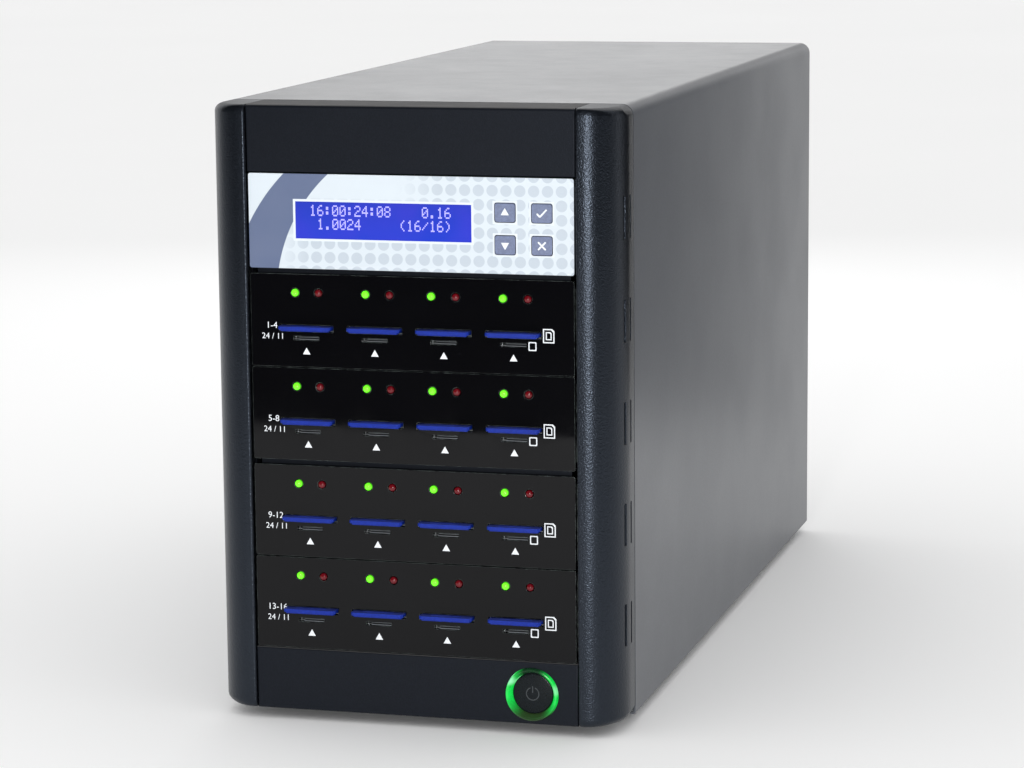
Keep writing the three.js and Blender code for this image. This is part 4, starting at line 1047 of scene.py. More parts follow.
def pillar_block(name, low, high, sizes, inset):
    """A block with a pillar's bowed front, smaller than the pillar by an inset."""
    seam = low.x + inset if inset else low.x - PILLAR_SEAM_RUN
    front, side = low.y + inset, high.x - inset
    bow = sizes.bow_width - inset
    piece = box(name, (seam, front, low.z + inset),
                (side, PILLAR_HIGH.y + PILLAR_REAR_RUN, high.z - inset))
    round_edges(piece, running("z", x=side, y=front), bow, steps=20)
    with editing(piece):
        pick("VERT", lambda v: v.co.y < front + bow + CLOSE)
        deep = (sizes.bow_depth - inset) / bow
        bpy.ops.transform.resize(value=(1, deep, 1), center_override=(0, front, 0))
    return piece


class TOWER_OT_pillars(bpy.types.Operator):
    """Shapes the two bowed corner pillars with their slots"""
    bl_idname = "tower.pillars"
    bl_label = "Pillars"

    def execute(self, context):
        sizes, case = context.scene.tower_front, context.scene.tower_case
        low, high = PILLAR_LOW, PILLAR_HIGH
        rise = Vector((0, 0, sizes.rim_rise))
        pillar = pillar_block("pillar_right", low + rise, high - rise, sizes, 0)
        self.round_rims(pillar, low, high, sizes)
        ends = box("ends", low - Vector((0, PILLAR_OVERRUN, 0)), high)
        round_edges(ends, either(*[running("y", x=high.x, z=z) for z in (low.z, high.z)]),
                    case.shoulder, steps=12)
        cut(pillar, ends, "INTERSECT")
        rim = low.y + sizes.rim_front + CLOSE
        round_edges(pillar, lambda edge: all(abs(v.co.x - low.x) < CLOSE and v.co.y < rim
                                             for v in edge.verts), sizes.seam_round, steps=4)
        round_edges(pillar, lying_at(y=high.y), sizes.back_round, steps=2)
        cut(pillar, pillar_block("hollow", low, high, sizes, sizes.wall))
        cut(pillar, self.side_slots(low, high, sizes))
        soften(pillar, PILLAR_SOFT)
        left = mirrored(pillar, "pillar_left")
        dress(pillar, "pillar_grain", "pillar_plastic", ROOT, "right_pillar")
        dress(left, "pillar_grain", "pillar_plastic", ROOT, "left_pillar")
        return {"FINISHED"}

    def round_rims(self, pillar, low, high, sizes, steps=5):
        """Draws both ends out in steps, each set in more at the front and at the side."""
        rims = ((high.x - low.x, sizes.rim_side), (high.y - low.y, sizes.rim_front))
        turns = [math.radians(90 * step / steps) for step in range(steps + 1)]
        for end, level in ((1, high.z), (-1, low.z)):
            for before, after in zip(turns, turns[1:]):
                at = level - end * sizes.rim_rise * (1 - math.sin(before))
                grow = end * sizes.rim_rise * (math.sin(after) - math.sin(before))
                narrow = [(size - reach * (1 - math.cos(after)))
                          / (size - reach * (1 - math.cos(before))) for size, reach in rims]
                with editing(pillar):
                    pick("FACE", lying_at(z=at))
                    bpy.ops.mesh.extrude_region_move(TRANSFORM_OT_translate={
                        "value": (0, 0, grow)})
                    bpy.ops.transform.resize(value=(*narrow, 1),
                                             center_override=(low.x, high.y, 0))

    def side_slots(self, low, high, sizes):
        """The pairs of slots down a pillar's side, as one cutter."""
        middle = (low.z + high.z) / 2 - sizes.slot_drop
        tall, wide = sizes.slot_height / 2, sizes.slot_width / 2
        slots = []
        for pair in range(SLOT_PAIRS):
            for step in (0, 1):
                y = high.y - sizes.slot_inset - step * sizes.slot_spacing
                z = middle + (pair - SLOT_PAIRS // 2) * sizes.slot_pitch
                slots.append(block("slot", (high.x - 2 * sizes.wall, y - wide, z - tall),
                                   (high.x + OVERRUN, y + wide, z + tall), "x",
                                   sizes.slot_width * SLOT_END_SHARE, steps=3))
        return joined("slots", slots)


def side_box(name, side, near, far):
    """A box at one side of the tower, between two corners given for the right side."""
    low_x, high_x = sorted((side * near[0], side * far[0]))
    return box(name, (low_x, *near[1:]), (high_x, *far[1:]))


# The bezel: its panels, uprights and flanges, and dark strips behind the gaps between the plates,
# which stand in for the shade in those gaps
BAY_HALF, BAY_GAP = mm(74), mm(0.5)
BACK_RIM, BACK_HOLLOW = mm(3), mm(24)
SEAT_GAP, SEAT_OVERRUN, SEAT_DEPTH = mm(0.3), mm(3), mm(5)
UPRIGHT_WIDTH, UPRIGHT_BACK, UPRIGHT_LAP, UPRIGHT_EDGE = mm(2.2), mm(5.3), mm(12), mm(0.4)
FLANGE_NEAR, FLANGE_FAR, FLANGE_SHEET, FLANGE_DROP = mm(1), mm(12), mm(2.5), mm(9)
FLANGE_CORNER, BEZEL_SOFT = mm(1.5), mm(0.15)
PLATE_HEIGHT = mm(41.2)
STRIP_HALF, STRIP_NEAR, STRIP_FAR, STRIP_LAP = mm(71), mm(3.6), mm(4.4), mm(2)
STRIP_CORNER = mm(0.5)


class TOWER_OT_bezel(bpy.types.Operator):
    """Shapes the panels above and below the bays and the uprights that join them"""
    bl_idname = "tower.bezel"
    bl_label = "Bezel"

    def execute(self, context):
        sizes, power = context.scene.tower_front, context.scene.tower_power
        back = BEZEL_HIGH.y
        bay_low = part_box(f"reader_front_{ROWS[-1]}")[0].z - BAY_GAP
        bay_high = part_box("display_overlay")[1].z + BAY_GAP
        brow = self.panel("brow", bay_high, BEZEL_HIGH.z, sizes.brow_edge, sizes)
        round_edges(brow, running("x", y=back, z=BEZEL_HIGH.z), sizes.brow_back)
        sill = self.panel("sill", BEZEL_LOW.z, bay_low, sizes.panel_edge, sizes)
        for panel in (brow, sill):
            push(panel, lying_at(y=back), BACK_RIM, (0, -BACK_HOLLOW, 0))
        middle = middle_of("power_ring")
        cut(sill, rod("seat", (middle.x, FRONT, middle.z), power.ring_outer + SEAT_GAP,
                      -SEAT_OVERRUN, SEAT_DEPTH, sides=64))
        panels = [brow, sill]
        for side in (-1, 1):
            front = FRONT + UPRIGHT_BACK
            upright = side_box("upright", side, (BAY_HALF, front, bay_low - UPRIGHT_LAP),
                               (BAY_HALF + UPRIGHT_WIDTH, back, bay_high + UPRIGHT_LAP))
            round_edges(upright, running("z", y=front), UPRIGHT_EDGE, steps=2)
            flange = side_box(
                "flange", side,
                (BAY_HALF + FLANGE_NEAR, back - FLANGE_SHEET, BEZEL_LOW.z + FLANGE_DROP),
                (BAY_HALF + FLANGE_FAR, back, BEZEL_HIGH.z - FLANGE_DROP))
            round_edges(flange, running("y"), FLANGE_CORNER, steps=2)
            panels += [upright, flange]
        # Dark strips behind the gaps between the plates, a dark stand-in for the shade in the gaps
        panels += [block("strip", (-STRIP_HALF, FRONT + STRIP_NEAR, z - STRIP_LAP),
                         (STRIP_HALF, FRONT + STRIP_FAR, z + STRIP_LAP), "y", STRIP_CORNER)
                   for z in self.seams(bay_low)]
        bezel = joined("bezel", panels)
        soften(bezel, BEZEL_SOFT)
        dress(bezel, "panel_plastic", "bezel_plastic", ROOT, "bezel_frame")
        return {"FINISHED"}

    def panel(self, name, low, high, top_edge, sizes):
        """A panel above or below the bays, with its front edges rounded."""
        panel = box(name, (-BAY_HALF, FRONT, low), (BAY_HALF, BEZEL_HIGH.y, high))
        round_edges(panel, running("x", y=FRONT, z=high), top_edge, steps=4)
        round_edges(panel, either(running("x", y=FRONT, z=low), *[
            running("z", x=x, y=FRONT) for x in (-BAY_HALF, BAY_HALF)]), sizes.panel_edge)
        return panel

    def seams(self, bay_low):
        """The heights of the gaps between the plates."""
        edges = [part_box("display_faceplate")[0].z]
        for row in ROWS:
            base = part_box(f"reader_front_{row}")[0].z
            edges[-1] = (edges[-1] + base + PLATE_HEIGHT) / 2
            edges.append(base)
        edges[-1] = (edges[-1] + bay_low) / 2
        return edges


# The slots, and the lamps beside them as shares of the distance between two slots
CARD_LOW, CARD_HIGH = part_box("sd_card_1")
CARD = middle_of("sd_card_1")
SLOT_PITCH = middle_of("sd_card_2").x - CARD.x
GREEN_SHARES = (-0.156, -0.128, -0.175, -0.147)
RED_SHARES = (0.188, 0.223, 0.179, 0.21)


def slot_x(slot):
    """The middle of a card slot, counted from the left."""
    return CARD.x + slot * SLOT_PITCH


# A reader plate, its side arms and the ledges under its board
PLATE_HALF, MOUTH_CORNER, LAMP_GAP, LAMP_DEPTH = mm(73.4), mm(0.3), mm(0.3), mm(5)
ARM_NEAR, ARM_FAR, ARM_FRONT, ARM_DROP, ARM_ROUND = mm(71.3), mm(73.7), mm(2.8), mm(3.6), mm(3)
SCREW_HOLE, SCREW_DROP, SCREW_START, SCREW_RUN = mm(1.6), mm(7.2), mm(3), mm(70)
SCREW_SHARES = (0.35, 0.85)
LEDGE_NEAR, LEDGE_FAR, LEDGE_DROP, ARM_SOFT = mm(68.3), mm(71.4), mm(3.65), mm(0.3)
LIP_LEFT, LIP_GAP, LIP_DEPTH, LIP_SOFT = mm(3.6), mm(0.3), mm(4), mm(0.05)
# A small slot's two lips: place above its middle, thickness, and place behind the face
LIPS = ((mm(0.3), mm(0.22), mm(0.8)), (mm(-0.62), mm(0.3), mm(0.3)))


class TOWER_OT_reader_plates(bpy.types.Operator):
    """Cuts the polished reader plates, with their card mouths, lamp holes and side arms"""
    bl_idname = "tower.reader_plates"
    bl_label = "Reader plates"

    def execute(self, context):
        sizes = context.scene.tower_readers
        low, top = PLATE_LOW, PLATE_LOW.z + PLATE_HEIGHT
        plate = block("plate", (-PLATE_HALF, FRONT, low.z),
                      (PLATE_HALF, FRONT + sizes.plate, top), "y", sizes.corner, steps=4)
        holes = []
        for slot in range(SLOTS):
            x = slot_x(slot)
            for width, height, z in (
                    (sizes.mouth_width, sizes.mouth_height, CARD.z),
                    (sizes.small_width, sizes.small_height, CARD.z - sizes.small_drop)):
                holes.append(block(
                    "mouth", (x - width / 2, FRONT - OVERRUN, z - height / 2),
                    (x + width / 2, FRONT + sizes.plate + OVERRUN, z + height / 2),
                    "y", MOUTH_CORNER))
            for share_of_pitch in (GREEN_SHARES[slot], RED_SHARES[slot]):
                centre = (x + share_of_pitch * SLOT_PITCH, FRONT, low.z + sizes.lamp_rise)
                holes.append(rod("lamp_hole", centre, sizes.lamp_radius + LAMP_GAP,
                                 -OVERRUN, LAMP_DEPTH, sides=28))
        cut(plate, joined("holes", holes))
        soften(plate, sizes.edge)
        sides = [part for side in (-1, 1) for part in self.side_parts(side, top)]
        plate = joined("reader_plate_1", [plate] + sides)
        fill_rows(plate, "reader_plate", "plate_gloss", "gloss_plate", "reader_front")
        lips = []
        for slot in range(SLOTS):
            x, z = slot_x(slot), CARD.z - sizes.small_drop
            for rise, thick, depth in LIPS:
                lips.append(box("lip", (x - LIP_LEFT, FRONT + depth, z + rise),
                                (x + sizes.small_width / 2 - LIP_GAP, FRONT + LIP_DEPTH,
                                 z + rise + thick)))
        lips = joined("slot_lips_1", lips)
        soften(lips, LIP_SOFT)
        fill_rows(lips, "slot_lips", "dull_steel", "gloss_plate")
        return {"FINISHED"}

    def side_parts(self, side, top):
        """A plate's arm at one side, with its screw holes, and the ledge under the board."""
        front, rear = FRONT + ARM_FRONT, PLATE_HIGH.y
        arm = side_box("arm", side, (ARM_NEAR, front, PLATE_LOW.z + ARM_DROP),
                       (ARM_FAR, rear, top - ARM_DROP))
        round_edges(arm, running("x", y=rear), ARM_ROUND, steps=4)
        near, far = sorted((side * ARM_NEAR, side * ARM_FAR))
        holes = [rod("screw_hole", (0, FRONT + SCREW_START + SCREW_RUN * part, top - SCREW_DROP),
                     SCREW_HOLE, near - OVERRUN, far + OVERRUN, sides=16, axis="X")
                 for part in SCREW_SHARES]
        cut(arm, joined("screw_holes", holes))
        ledge_top = CARD.z - LEDGE_DROP
        ledge = side_box("ledge", side, (LEDGE_NEAR, front, ledge_top - BOARD_THICKNESS),
                         (LEDGE_FAR, rear, ledge_top))
        for part in (arm, ledge):
            soften(part, ARM_SOFT)
        return arm, ledge


# The print on a plate, with heights above the plate's lower edge
CARD_SIGN = (mm(61.95), mm(17.2))
CARD_SIGN_FRAMES = (((mm(2.55), mm(3.1)), mm(0.5)), ((mm(1.3), mm(1.75)), mm(0.45)))
CARD_SIGN_CUT_SHARE = 0.4
SMALL_SIGN, SMALL_SIGN_HALF, SMALL_SIGN_CORNER = (mm(54.7), mm(12.45)), (mm(1.8), mm(1.95)), mm(0.4)
NOTCH_DROP, NOTCH_HALF, NOTCH_CORNER = mm(1.175), (mm(0.8), mm(0.575)), mm(0.25)
NOTCH_LIFT, SMALL_LINE, NOTCH_LINE = mm(0.01), mm(0.5), mm(0.4)
RANGE_PLACE, RANGE_SIZE = (mm(-63.8), mm(18.2)), mm(4.0)
WIDTHS_PLACE, WIDTHS_SIZE = (mm(-63.3), mm(13.4)), mm(3.7)


class TOWER_OT_plate_print(bpy.types.Operator):
    """Prints the arrows, the card signs and the plain numbers on the reader plates"""
    bl_idname = "tower.plate_print"
    bl_label = "Plate print"

    def execute(self, context):
        sizes = context.scene.tower_readers
        base = PLATE_LOW.z
        signs = [arrow((slot_x(slot), FRONT, base + sizes.arrow_rise), sizes.arrow)
                 for slot in range(SLOTS)]
        x, rise = CARD_SIGN
        signs += [outline((x, FRONT, base + rise), half, line, 0, half[0] * CARD_SIGN_CUT_SHARE)
                  for half, line in CARD_SIGN_FRAMES]
        x, rise = SMALL_SIGN
        signs.append(outline((x, FRONT, base + rise), SMALL_SIGN_HALF, SMALL_LINE,
                             SMALL_SIGN_CORNER))
        signs.append(outline((x, FRONT - NOTCH_LIFT, base + rise - NOTCH_DROP), NOTCH_HALF,
                             NOTCH_LINE, NOTCH_CORNER))
        first = joined("plate_signs_1", signs)
        for row in ROWS:
            marks = copy_of(first, f"signs_{row}", row_shift(row))
            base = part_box(f"reader_front_{row}")[0].z
            start = (row - 1) * SLOTS + 1
            figures = [words(text, size, (place[0], FRONT, base + place[1]))
                       for text, size, place in (
                           (f"{start}-{start + SLOTS - 1}", RANGE_SIZE, RANGE_PLACE),
                           ("24 / 11", WIDTHS_SIZE, WIDTHS_PLACE))]
            print_row = joined(f"plate_print_{row}", [marks, *figures])
            smooth(print_row)
            dress(print_row, "print_white", "display_film", ROOT)
        bpy.data.meshes.remove(first.data)
        return {"FINISHED"}


# A lens, and the bar that joins four of them
LENS_BACK, LENS_FLANGE, LENS_START, LENS_SIDES = mm(5.3), mm(1.2), mm(0.2), 24
LENS_RIM_SHARE = LENS_TIP_SHARE = 0.06
DOME_STEP, LENS_SMOOTH = 11, 50
COMB_NEAR, COMB_FAR, COMB_OFF, COMB_REACH, COMB_SOFT = mm(3.4), mm(5.2), mm(1.9), mm(3.3), mm(0.2)


class TOWER_OT_lamps(bpy.types.Operator):
    """Turns the domed lenses of the lamps and joins each row's four to their bar"""
    bl_idname = "tower.lamps"
    bl_label = "Lamps"

    def execute(self, context):
        sizes = context.scene.tower_readers
        radius, proud = sizes.lamp_radius, sizes.lamp_proud
        wide, step = radius * (1 + LENS_RIM_SHARE), LENS_BACK - LENS_FLANGE
        turns = [math.radians(degrees) for degrees in range(0, 90, DOME_STEP)]
        dome = [(radius * math.cos(turn), LENS_START - (proud + LENS_START) * math.sin(turn))
                for turn in turns]
        lens = turned("lens", (0, FRONT, 0), [
            (wide, LENS_BACK), (wide, step), (radius, step), *dome,
            (radius * LENS_TIP_SHARE, -proud)], LENS_SIDES)
        smooth(lens, LENS_SMOOTH)
        z = PLATE_LOW.z + sizes.lamp_rise
        for name, shares, level in (("green", GREEN_SHARES, 1), ("red", RED_SHARES, -1)):
            places = [slot_x(slot) + part * SLOT_PITCH for slot, part in enumerate(shares)]
            near, far = sorted((level * COMB_OFF, level * COMB_REACH))
            bar = box("bar", (places[0] - radius, FRONT + COMB_NEAR, z + near),
                      (places[-1] + radius, FRONT + COMB_FAR, z + far))
            soften(bar, COMB_SOFT)
            lenses = [copy_of(lens, "lens_copy", (x, 0, z)) for x in places]
            comb = joined(f"{name}_lamps_1", [bar] + lenses)
            fill_rows(comb, f"{name}_lamps", f"{name}_lamp", f"{name}_lens", f"{name}_leds")
        bpy.data.meshes.remove(lens.data)
        return {"FINISHED"}


# Places on a card, from its sides, its front edge and its rear edge
CARD_CORNER, LABEL_DEPTH = mm(1), mm(0.12)
LABEL_SIDE, LABEL_AHEAD, LABEL_REAR, LABEL_CORNER = mm(1.6), mm(6), mm(5.2), mm(0.8)
PAPER_GAP, PAPER_SUNK, PAPER_CORNER = mm(0.3), mm(0.04), mm(0.6)
NOTCH_REAR, NOTCH_FRONT, NOTCH_DEEP, NOTCH_ROUND = mm(9.5), mm(13), mm(0.8), mm(0.3)
GRIPS, GRIP_START, GRIP_PITCH = 3, mm(1.5), mm(1.1)
GRIP_SIDE, GRIP_WIDTH, GRIP_CORNER, CARD_SOFT = mm(5), mm(0.5), mm(0.2), mm(0.14)
CONTACTS, CONTACT_START, CONTACT_PITCH, CONTACT_WIDTH = 8, mm(3.2), mm(2.4), mm(1.5)
CONTACT_FRONT, CONTACT_REAR, CONTACT_CORNER = mm(5.6), mm(1.6), mm(0.25)
CONTACT_PROUD, CONTACT_THICK = mm(0.02), mm(0.08)


class TOWER_OT_cards(bpy.types.Operator):
    """Shapes one memory card, with its rim, label, notch and contacts, and copies it"""
    bl_idname = "tower.cards"
    bl_label = "Cards"

    def execute(self, context):
        card = self.shell(context.scene.tower_readers)
        paper = self.over_label("paper", PAPER_GAP, -LABEL_DEPTH, -PAPER_SUNK, PAPER_CORNER)
        rear = CARD_HIGH.y
        contacts = joined("contacts", [
            block("contact", (x, rear - CONTACT_FRONT, CARD_LOW.z - CONTACT_PROUD),
                  (x + CONTACT_WIDTH, rear - CONTACT_REAR,
                   CARD_LOW.z - CONTACT_PROUD + CONTACT_THICK), "z", CONTACT_CORNER)
            for x in (CARD_LOW.x + CONTACT_START + step * CONTACT_PITCH
                      for step in range(CONTACTS))])
        parts = {"card_satin": card, "card_label": paper, "contact_gold": contacts}
        for finish, part in parts.items():
            part.data.materials.append(bpy.data.materials[finish])
        card = joined("card_1", list(parts.values()))
        for number in range(1, len(ROWS) * SLOTS + 1):
            row, slot = divmod(number - 1, SLOTS)
            shift = row_shift(row + 1) + Vector((slot * SLOT_PITCH, 0, 0))
            each = copy_of(card, f"memory_card_{number}", shift)
            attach(each, f"sd_card_{number}")
            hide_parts(f"sd_card_{number}")
        bpy.data.meshes.remove(card.data)
        return {"FINISHED"}

    def shell(self, sizes):
        """A card's case with its rim, its label's recess, its notch and its grips."""
        low, high = CARD_LOW, CARD_HIGH
        under, over = low.z - OVERRUN, high.z + OVERRUN
        card = box("card", (low.x, low.y, high.z - sizes.rim), high)
        round_edges(card, running("z", y=low.y), CARD_CORNER, steps=1)
        round_edges(card, running("z", x=low.x, y=high.y), CARD_CORNER, steps=2)
        round_edges(card, running("z", x=high.x, y=high.y), sizes.card_cut, steps=1)
        push(card, lying_at(z=high.z - sizes.rim), sizes.rim_width,
             (0, 0, low.z - high.z + sizes.rim))
        cut(card, self.over_label("label_recess", 0, -LABEL_DEPTH, OVERRUN, LABEL_CORNER))
        notch = box("notch", (low.x - OVERRUN, high.y - NOTCH_FRONT, under),
                    (low.x + NOTCH_DEEP, high.y - NOTCH_REAR, over))
        round_edges(notch, running("z", x=low.x + NOTCH_DEEP), NOTCH_ROUND, steps=2)
        cut(card, notch)
        starts = [low.y + GRIP_START + step * GRIP_PITCH for step in range(GRIPS)]
        cut(card, joined("grips", [
            block("grip", (low.x + GRIP_SIDE, y, high.z - LABEL_DEPTH),
                  (high.x - GRIP_SIDE, y + GRIP_WIDTH, over), "z", GRIP_CORNER)
            for y in starts]))
        soften(card, CARD_SOFT)
        return card

    def over_label(self, name, gap, bottom, top, corner):
        """A block in a card's label recess, smaller by a gap, between two levels."""
        side = LABEL_SIDE + gap
        return block(name, (CARD_LOW.x + side, CARD_LOW.y + LABEL_AHEAD + gap,
                            CARD_HIGH.z + bottom),
                     (CARD_HIGH.x - side, CARD_HIGH.y - LABEL_REAR - gap, CARD_HIGH.z + top),
                     "z", corner, steps=3)


# The figures on the screen, as rows of dots from the top
CHARACTERS = {
    "0": "01110 10001 10011 10101 11001 10001 01110",
    "1": "00100 01100 00100 00100 00100 00100 01110",
    "2": "01110 10001 00001 00110 01000 10000 11111",
    "4": "00010 00110 01010 10010 11111 00010 00010",
    "6": "00110 01000 10000 11110 10001 10001 01110",
    "8": "01110 10001 10001 01110 10001 10001 01110",
    ".": "00000 00000 00000 00000 00000 01100 01100",
    ":": "00000 01100 01100 00000 01100 01100 00000",
    "/": "00000 00001 00010 00100 01000 10000 00000",
    "(": "00010 00100 01000 01000 01000 00100 00010",
    ")": "01000 00100 00010 00010 00010 00100 01000",
}
SCREEN_LINES = ("16:00:24:08    0.16", " 1.0024     (16/16)")
COLUMNS, STEPS_PER_CELL, MIDDLE_LEVEL = 20, 6, 3
GLASS_CORNER, GLASS_SOFT = mm(0.6), mm(0.1)
DOT_RISE, DOT_HALF_SHARE, LINES_RISE = mm(0.69), 0.46, mm(1.2)


class TOWER_OT_screen(bpy.types.Operator):
    """Makes the lit screen with two lines of plain figures"""
    bl_idname = "tower.screen"
    bl_label = "Screen"

    def execute(self, context):
        sizes = context.scene.tower_display
        glass = block("screen", GLASS_LOW, GLASS_HIGH, "y", GLASS_CORNER, steps=3)
        soften(glass, GLASS_SOFT)
        dress(glass, "screen", "display_glass", ROOT, "display_window")
        step_x = sizes.cell / STEPS_PER_CELL
        half_x, half_z = step_x * DOT_HALF_SHARE, DOT_RISE * DOT_HALF_SHARE
        dot = box("dot", (-half_x, GLASS_LOW.y - INK, -half_z), (half_x, GLASS_LOW.y, half_z))
        remove_faces(dot, lying_at(y=GLASS_LOW.y))
        (low_x, low_z), (high_x, high_z) = SCREEN
        left = (low_x + high_x - COLUMNS * sizes.cell) / 2 + step_x
        top = (low_z + high_z + sizes.line) / 2 + MIDDLE_LEVEL * DOT_RISE + LINES_RISE
        dots = []
        for line, text in enumerate(SCREEN_LINES):
            for column, letter in enumerate(text):
                for level, pattern in enumerate(CHARACTERS.get(letter, "").split()):
                    places = [(left + column * sizes.cell + across * step_x, 0,
                               top - line * sizes.line - level * DOT_RISE)
                              for across, lit in enumerate(pattern) if lit == "1"]
                    dots += [copy_of(dot, "dot_copy", place) for place in places]
        bpy.data.meshes.remove(dot.data)
        dress(joined("screen_figures", dots), "screen_dots", "display_glass", ROOT)
        return {"FINISHED"}


# A key, and the strokes printed on it
KEY_HOLLOW_RIM, KEY_FLANGE, KEY_FLANGE_CORNER, KEY_SOFT = mm(0.35), mm(0.8), mm(0.5), mm(0.08)
KEY_ARROW, STROKE, STROKE_END_SHARE, STROKE_LIFT = mm(2.1), mm(0.75), 0.3, mm(0.01)
# Strokes of the tick and the cross, each as two points from the key's middle
TICK = ((mm(-2.2), mm(-0.1), mm(-0.7), mm(-1.6)), (mm(-0.9), mm(-1.6), mm(2.2), mm(1.7)))
CROSS = ((mm(-1.7), mm(-1.7), mm(1.7), mm(1.7)), (mm(-1.7), mm(1.7), mm(1.7), mm(-1.7)))


class TOWER_OT_keys(bpy.types.Operator):
    """Moulds the four keys with their printed signs"""
    bl_idname = "tower.keys"
    bl_label = "Keys"

    def execute(self, context):
        sizes = context.scene.tower_display
        low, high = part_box(KEYS[0])
        face_low, face_high = key_face(KEYS[0])
        cap = block("cap", (face_low[0], low.y, face_low[1]),
                    (face_high[0], high.y, face_high[1]), "y", sizes.key_corner, steps=4)
        round_edges(cap, lying_at(y=low.y), sizes.key_edge)
        push(cap, lying_at(y=low.y), KEY_HOLLOW_RIM, (0, sizes.key_crown, 0))
        flange = block("flange", (low.x, high.y - KEY_FLANGE, low.z), high, "y",
                       KEY_FLANGE_CORNER)
        for part in (cap, flange):
            soften(part, KEY_SOFT)
        key = joined("key", [cap, flange])
        middle = middle_of(KEYS[0])
        middle.y = low.y + sizes.key_crown
        signs = ([arrow(middle, KEY_ARROW)], [arrow(middle, KEY_ARROW, math.pi)],
                 self.strokes(middle, TICK), self.strokes(middle, CROSS))
        for name, marks in zip(KEYS, signs):
            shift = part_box(name)[0] - low
            each = copy_of(key, name.replace("key", "keycap"), shift)
            dress(each, "key_satin", "key_plastic", name, name)
            sign = joined(name.replace("key", "keysign"), marks)
            sign.data.transform(Matrix.Translation(shift))
            dress(sign, "print_white", "display_film", name)
        bpy.data.meshes.remove(key.data)
        return {"FINISHED"}

    def strokes(self, middle, lines):
        """Two printed strokes, the second laid over the first."""
        made = []
        for number, (x0, z0, x1, z1) in enumerate(lines):
            long, thick = math.hypot(x1 - x0, z1 - z0) / 2, STROKE / 2
            stroke = block("stroke", (-long, -INK, -thick), (long, 0, thick), "y",
                           STROKE * STROKE_END_SHARE)
            at = middle + Vector(((x0 + x1) / 2, -number * STROKE_LIFT, (z0 + z1) / 2))
            turn = Matrix.Rotation(-math.atan2(z1 - z0, x1 - x0), 4, "Y")
            stroke.data.transform(Matrix.Translation(at) @ turn)
            made.append(stroke)
        return made


# Depths behind the panel's face, and radii added to the ring's inner and outer ones
RING_LIP, RING_SEAT, RING_FLANGE, RING_END = mm(1.6), mm(2.8), mm(4.3), mm(18)
FUNNEL_OUT, FUNNEL_DEPTH, SLOPE_OUT, SLOPE_SHARE = mm(0.15), mm(0.9), mm(0.7), 0.45
RING_RIM, RING_WALL = mm(0.9), mm(1)
# The ring's crest: how far in from its outer radius, and the share of its height
CREST = ((mm(0.9), 0.9), (mm(0.6), 1), (mm(0.25), 0.93), (mm(0.06), 0.7), (0, 0.3))
CAP_STEM, CAP_TUBE, CAP_SKIRT, CAP_NECK = mm(2), mm(3.5), mm(6.6), mm(12.6)
# The cap's dished face: shares of its radius, and depths
CAP_DISH, CAP_DROP = ((0.05, 0), (0.4, mm(0.08)), (0.75, mm(0.28))), mm(0.45)
SIGN_LINE, SIGN_PROUD, SIGN_DEPTH, SIGN_GAP = mm(0.45), mm(0.02), mm(0.4), mm(1)
GAP_REACH, STROKE_LOW, STROKE_HIGH = mm(4), mm(0.4), mm(3.4)
STROKE_HALF, STROKE_CORNER, ROUND_SMOOTH = mm(0.25), mm(0.2), 40


def turned_ring(name, centre, inner, outer, near, far, sides):
    """A plain round ring between two radii."""
    return turned(name, centre, [(inner, near), (outer, near), (outer, far), (inner, far),
                                 (inner, near)], sides, hollow=True)


class TOWER_OT_power_button(bpy.types.Operator):
    """Turns the lit ring and the power button, and marks the button with its sign"""
    bl_idname = "tower.power_button"
    bl_label = "Power button"

    def execute(self, context):
        sizes = context.scene.tower_power
        centre = middle_of("power_ring")
        centre.y = FRONT
        inner, outer, proud = sizes.ring_inner, sizes.ring_outer, sizes.ring_proud
        rim, wall = outer + RING_RIM, outer - RING_WALL
        ring = turned("ring", centre, [
            (inner, RING_LIP), (inner + FUNNEL_OUT, FUNNEL_DEPTH),
            (inner + SLOPE_OUT, -proud * SLOPE_SHARE),
            *((outer - by, -proud * part) for by, part in CREST), (outer, RING_SEAT),
            (rim, RING_SEAT), (rim, RING_FLANGE), (wall, RING_FLANGE), (wall, RING_END),
            (inner, RING_END), (inner, RING_LIP)], sides=72, hollow=True)
        smooth(ring, ROUND_SMOOTH)
        dress(ring, "lit_ring", "ring_light", ROOT, "power_ring")
        radius, edge, face = sizes.cap, sizes.cap_edge, sizes.recess
        rounding = [(radius - edge * (1 - math.sin(turn)),
                     face + CAP_DROP + edge * (1 - math.cos(turn)))
                    for turn in map(math.radians, (0, 30, 60, 90))]
        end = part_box("power_button")[1].y - FRONT
        button = turned("power_cap", centre, [
            *((radius * part, face + drop) for part, drop in CAP_DISH), *rounding,
            (radius, CAP_SKIRT), (CAP_TUBE, CAP_SKIRT), (CAP_TUBE, CAP_NECK),
            (CAP_STEM, CAP_NECK), (CAP_STEM, end)], sides=64)
        smooth(button, ROUND_SMOOTH)
        dress(button, "cap_plastic", "button_plastic", "power_button", "power_button")
        at = centre + Vector((0, face - SIGN_PROUD, 0))
        sign_ring = turned_ring("sign_ring", at, sizes.sign, sizes.sign + SIGN_LINE, 0,
                                SIGN_DEPTH, sides=40)
        cut(sign_ring, box("gap", at - Vector((SIGN_GAP, SIGN_GAP, 0)),
                           at + Vector((SIGN_GAP, SIGN_GAP, GAP_REACH))))
        stroke = block("stroke", at + Vector((-STROKE_HALF, 0, STROKE_LOW)),
                       at + Vector((STROKE_HALF, SIGN_DEPTH, STROKE_HIGH)), "y", STROKE_CORNER)
        sign = joined("power_sign", [sign_ring, stroke])
        smooth(sign)
        dress(sign, "print_grey", "button_plastic", "power_button")
        return {"FINISHED"}


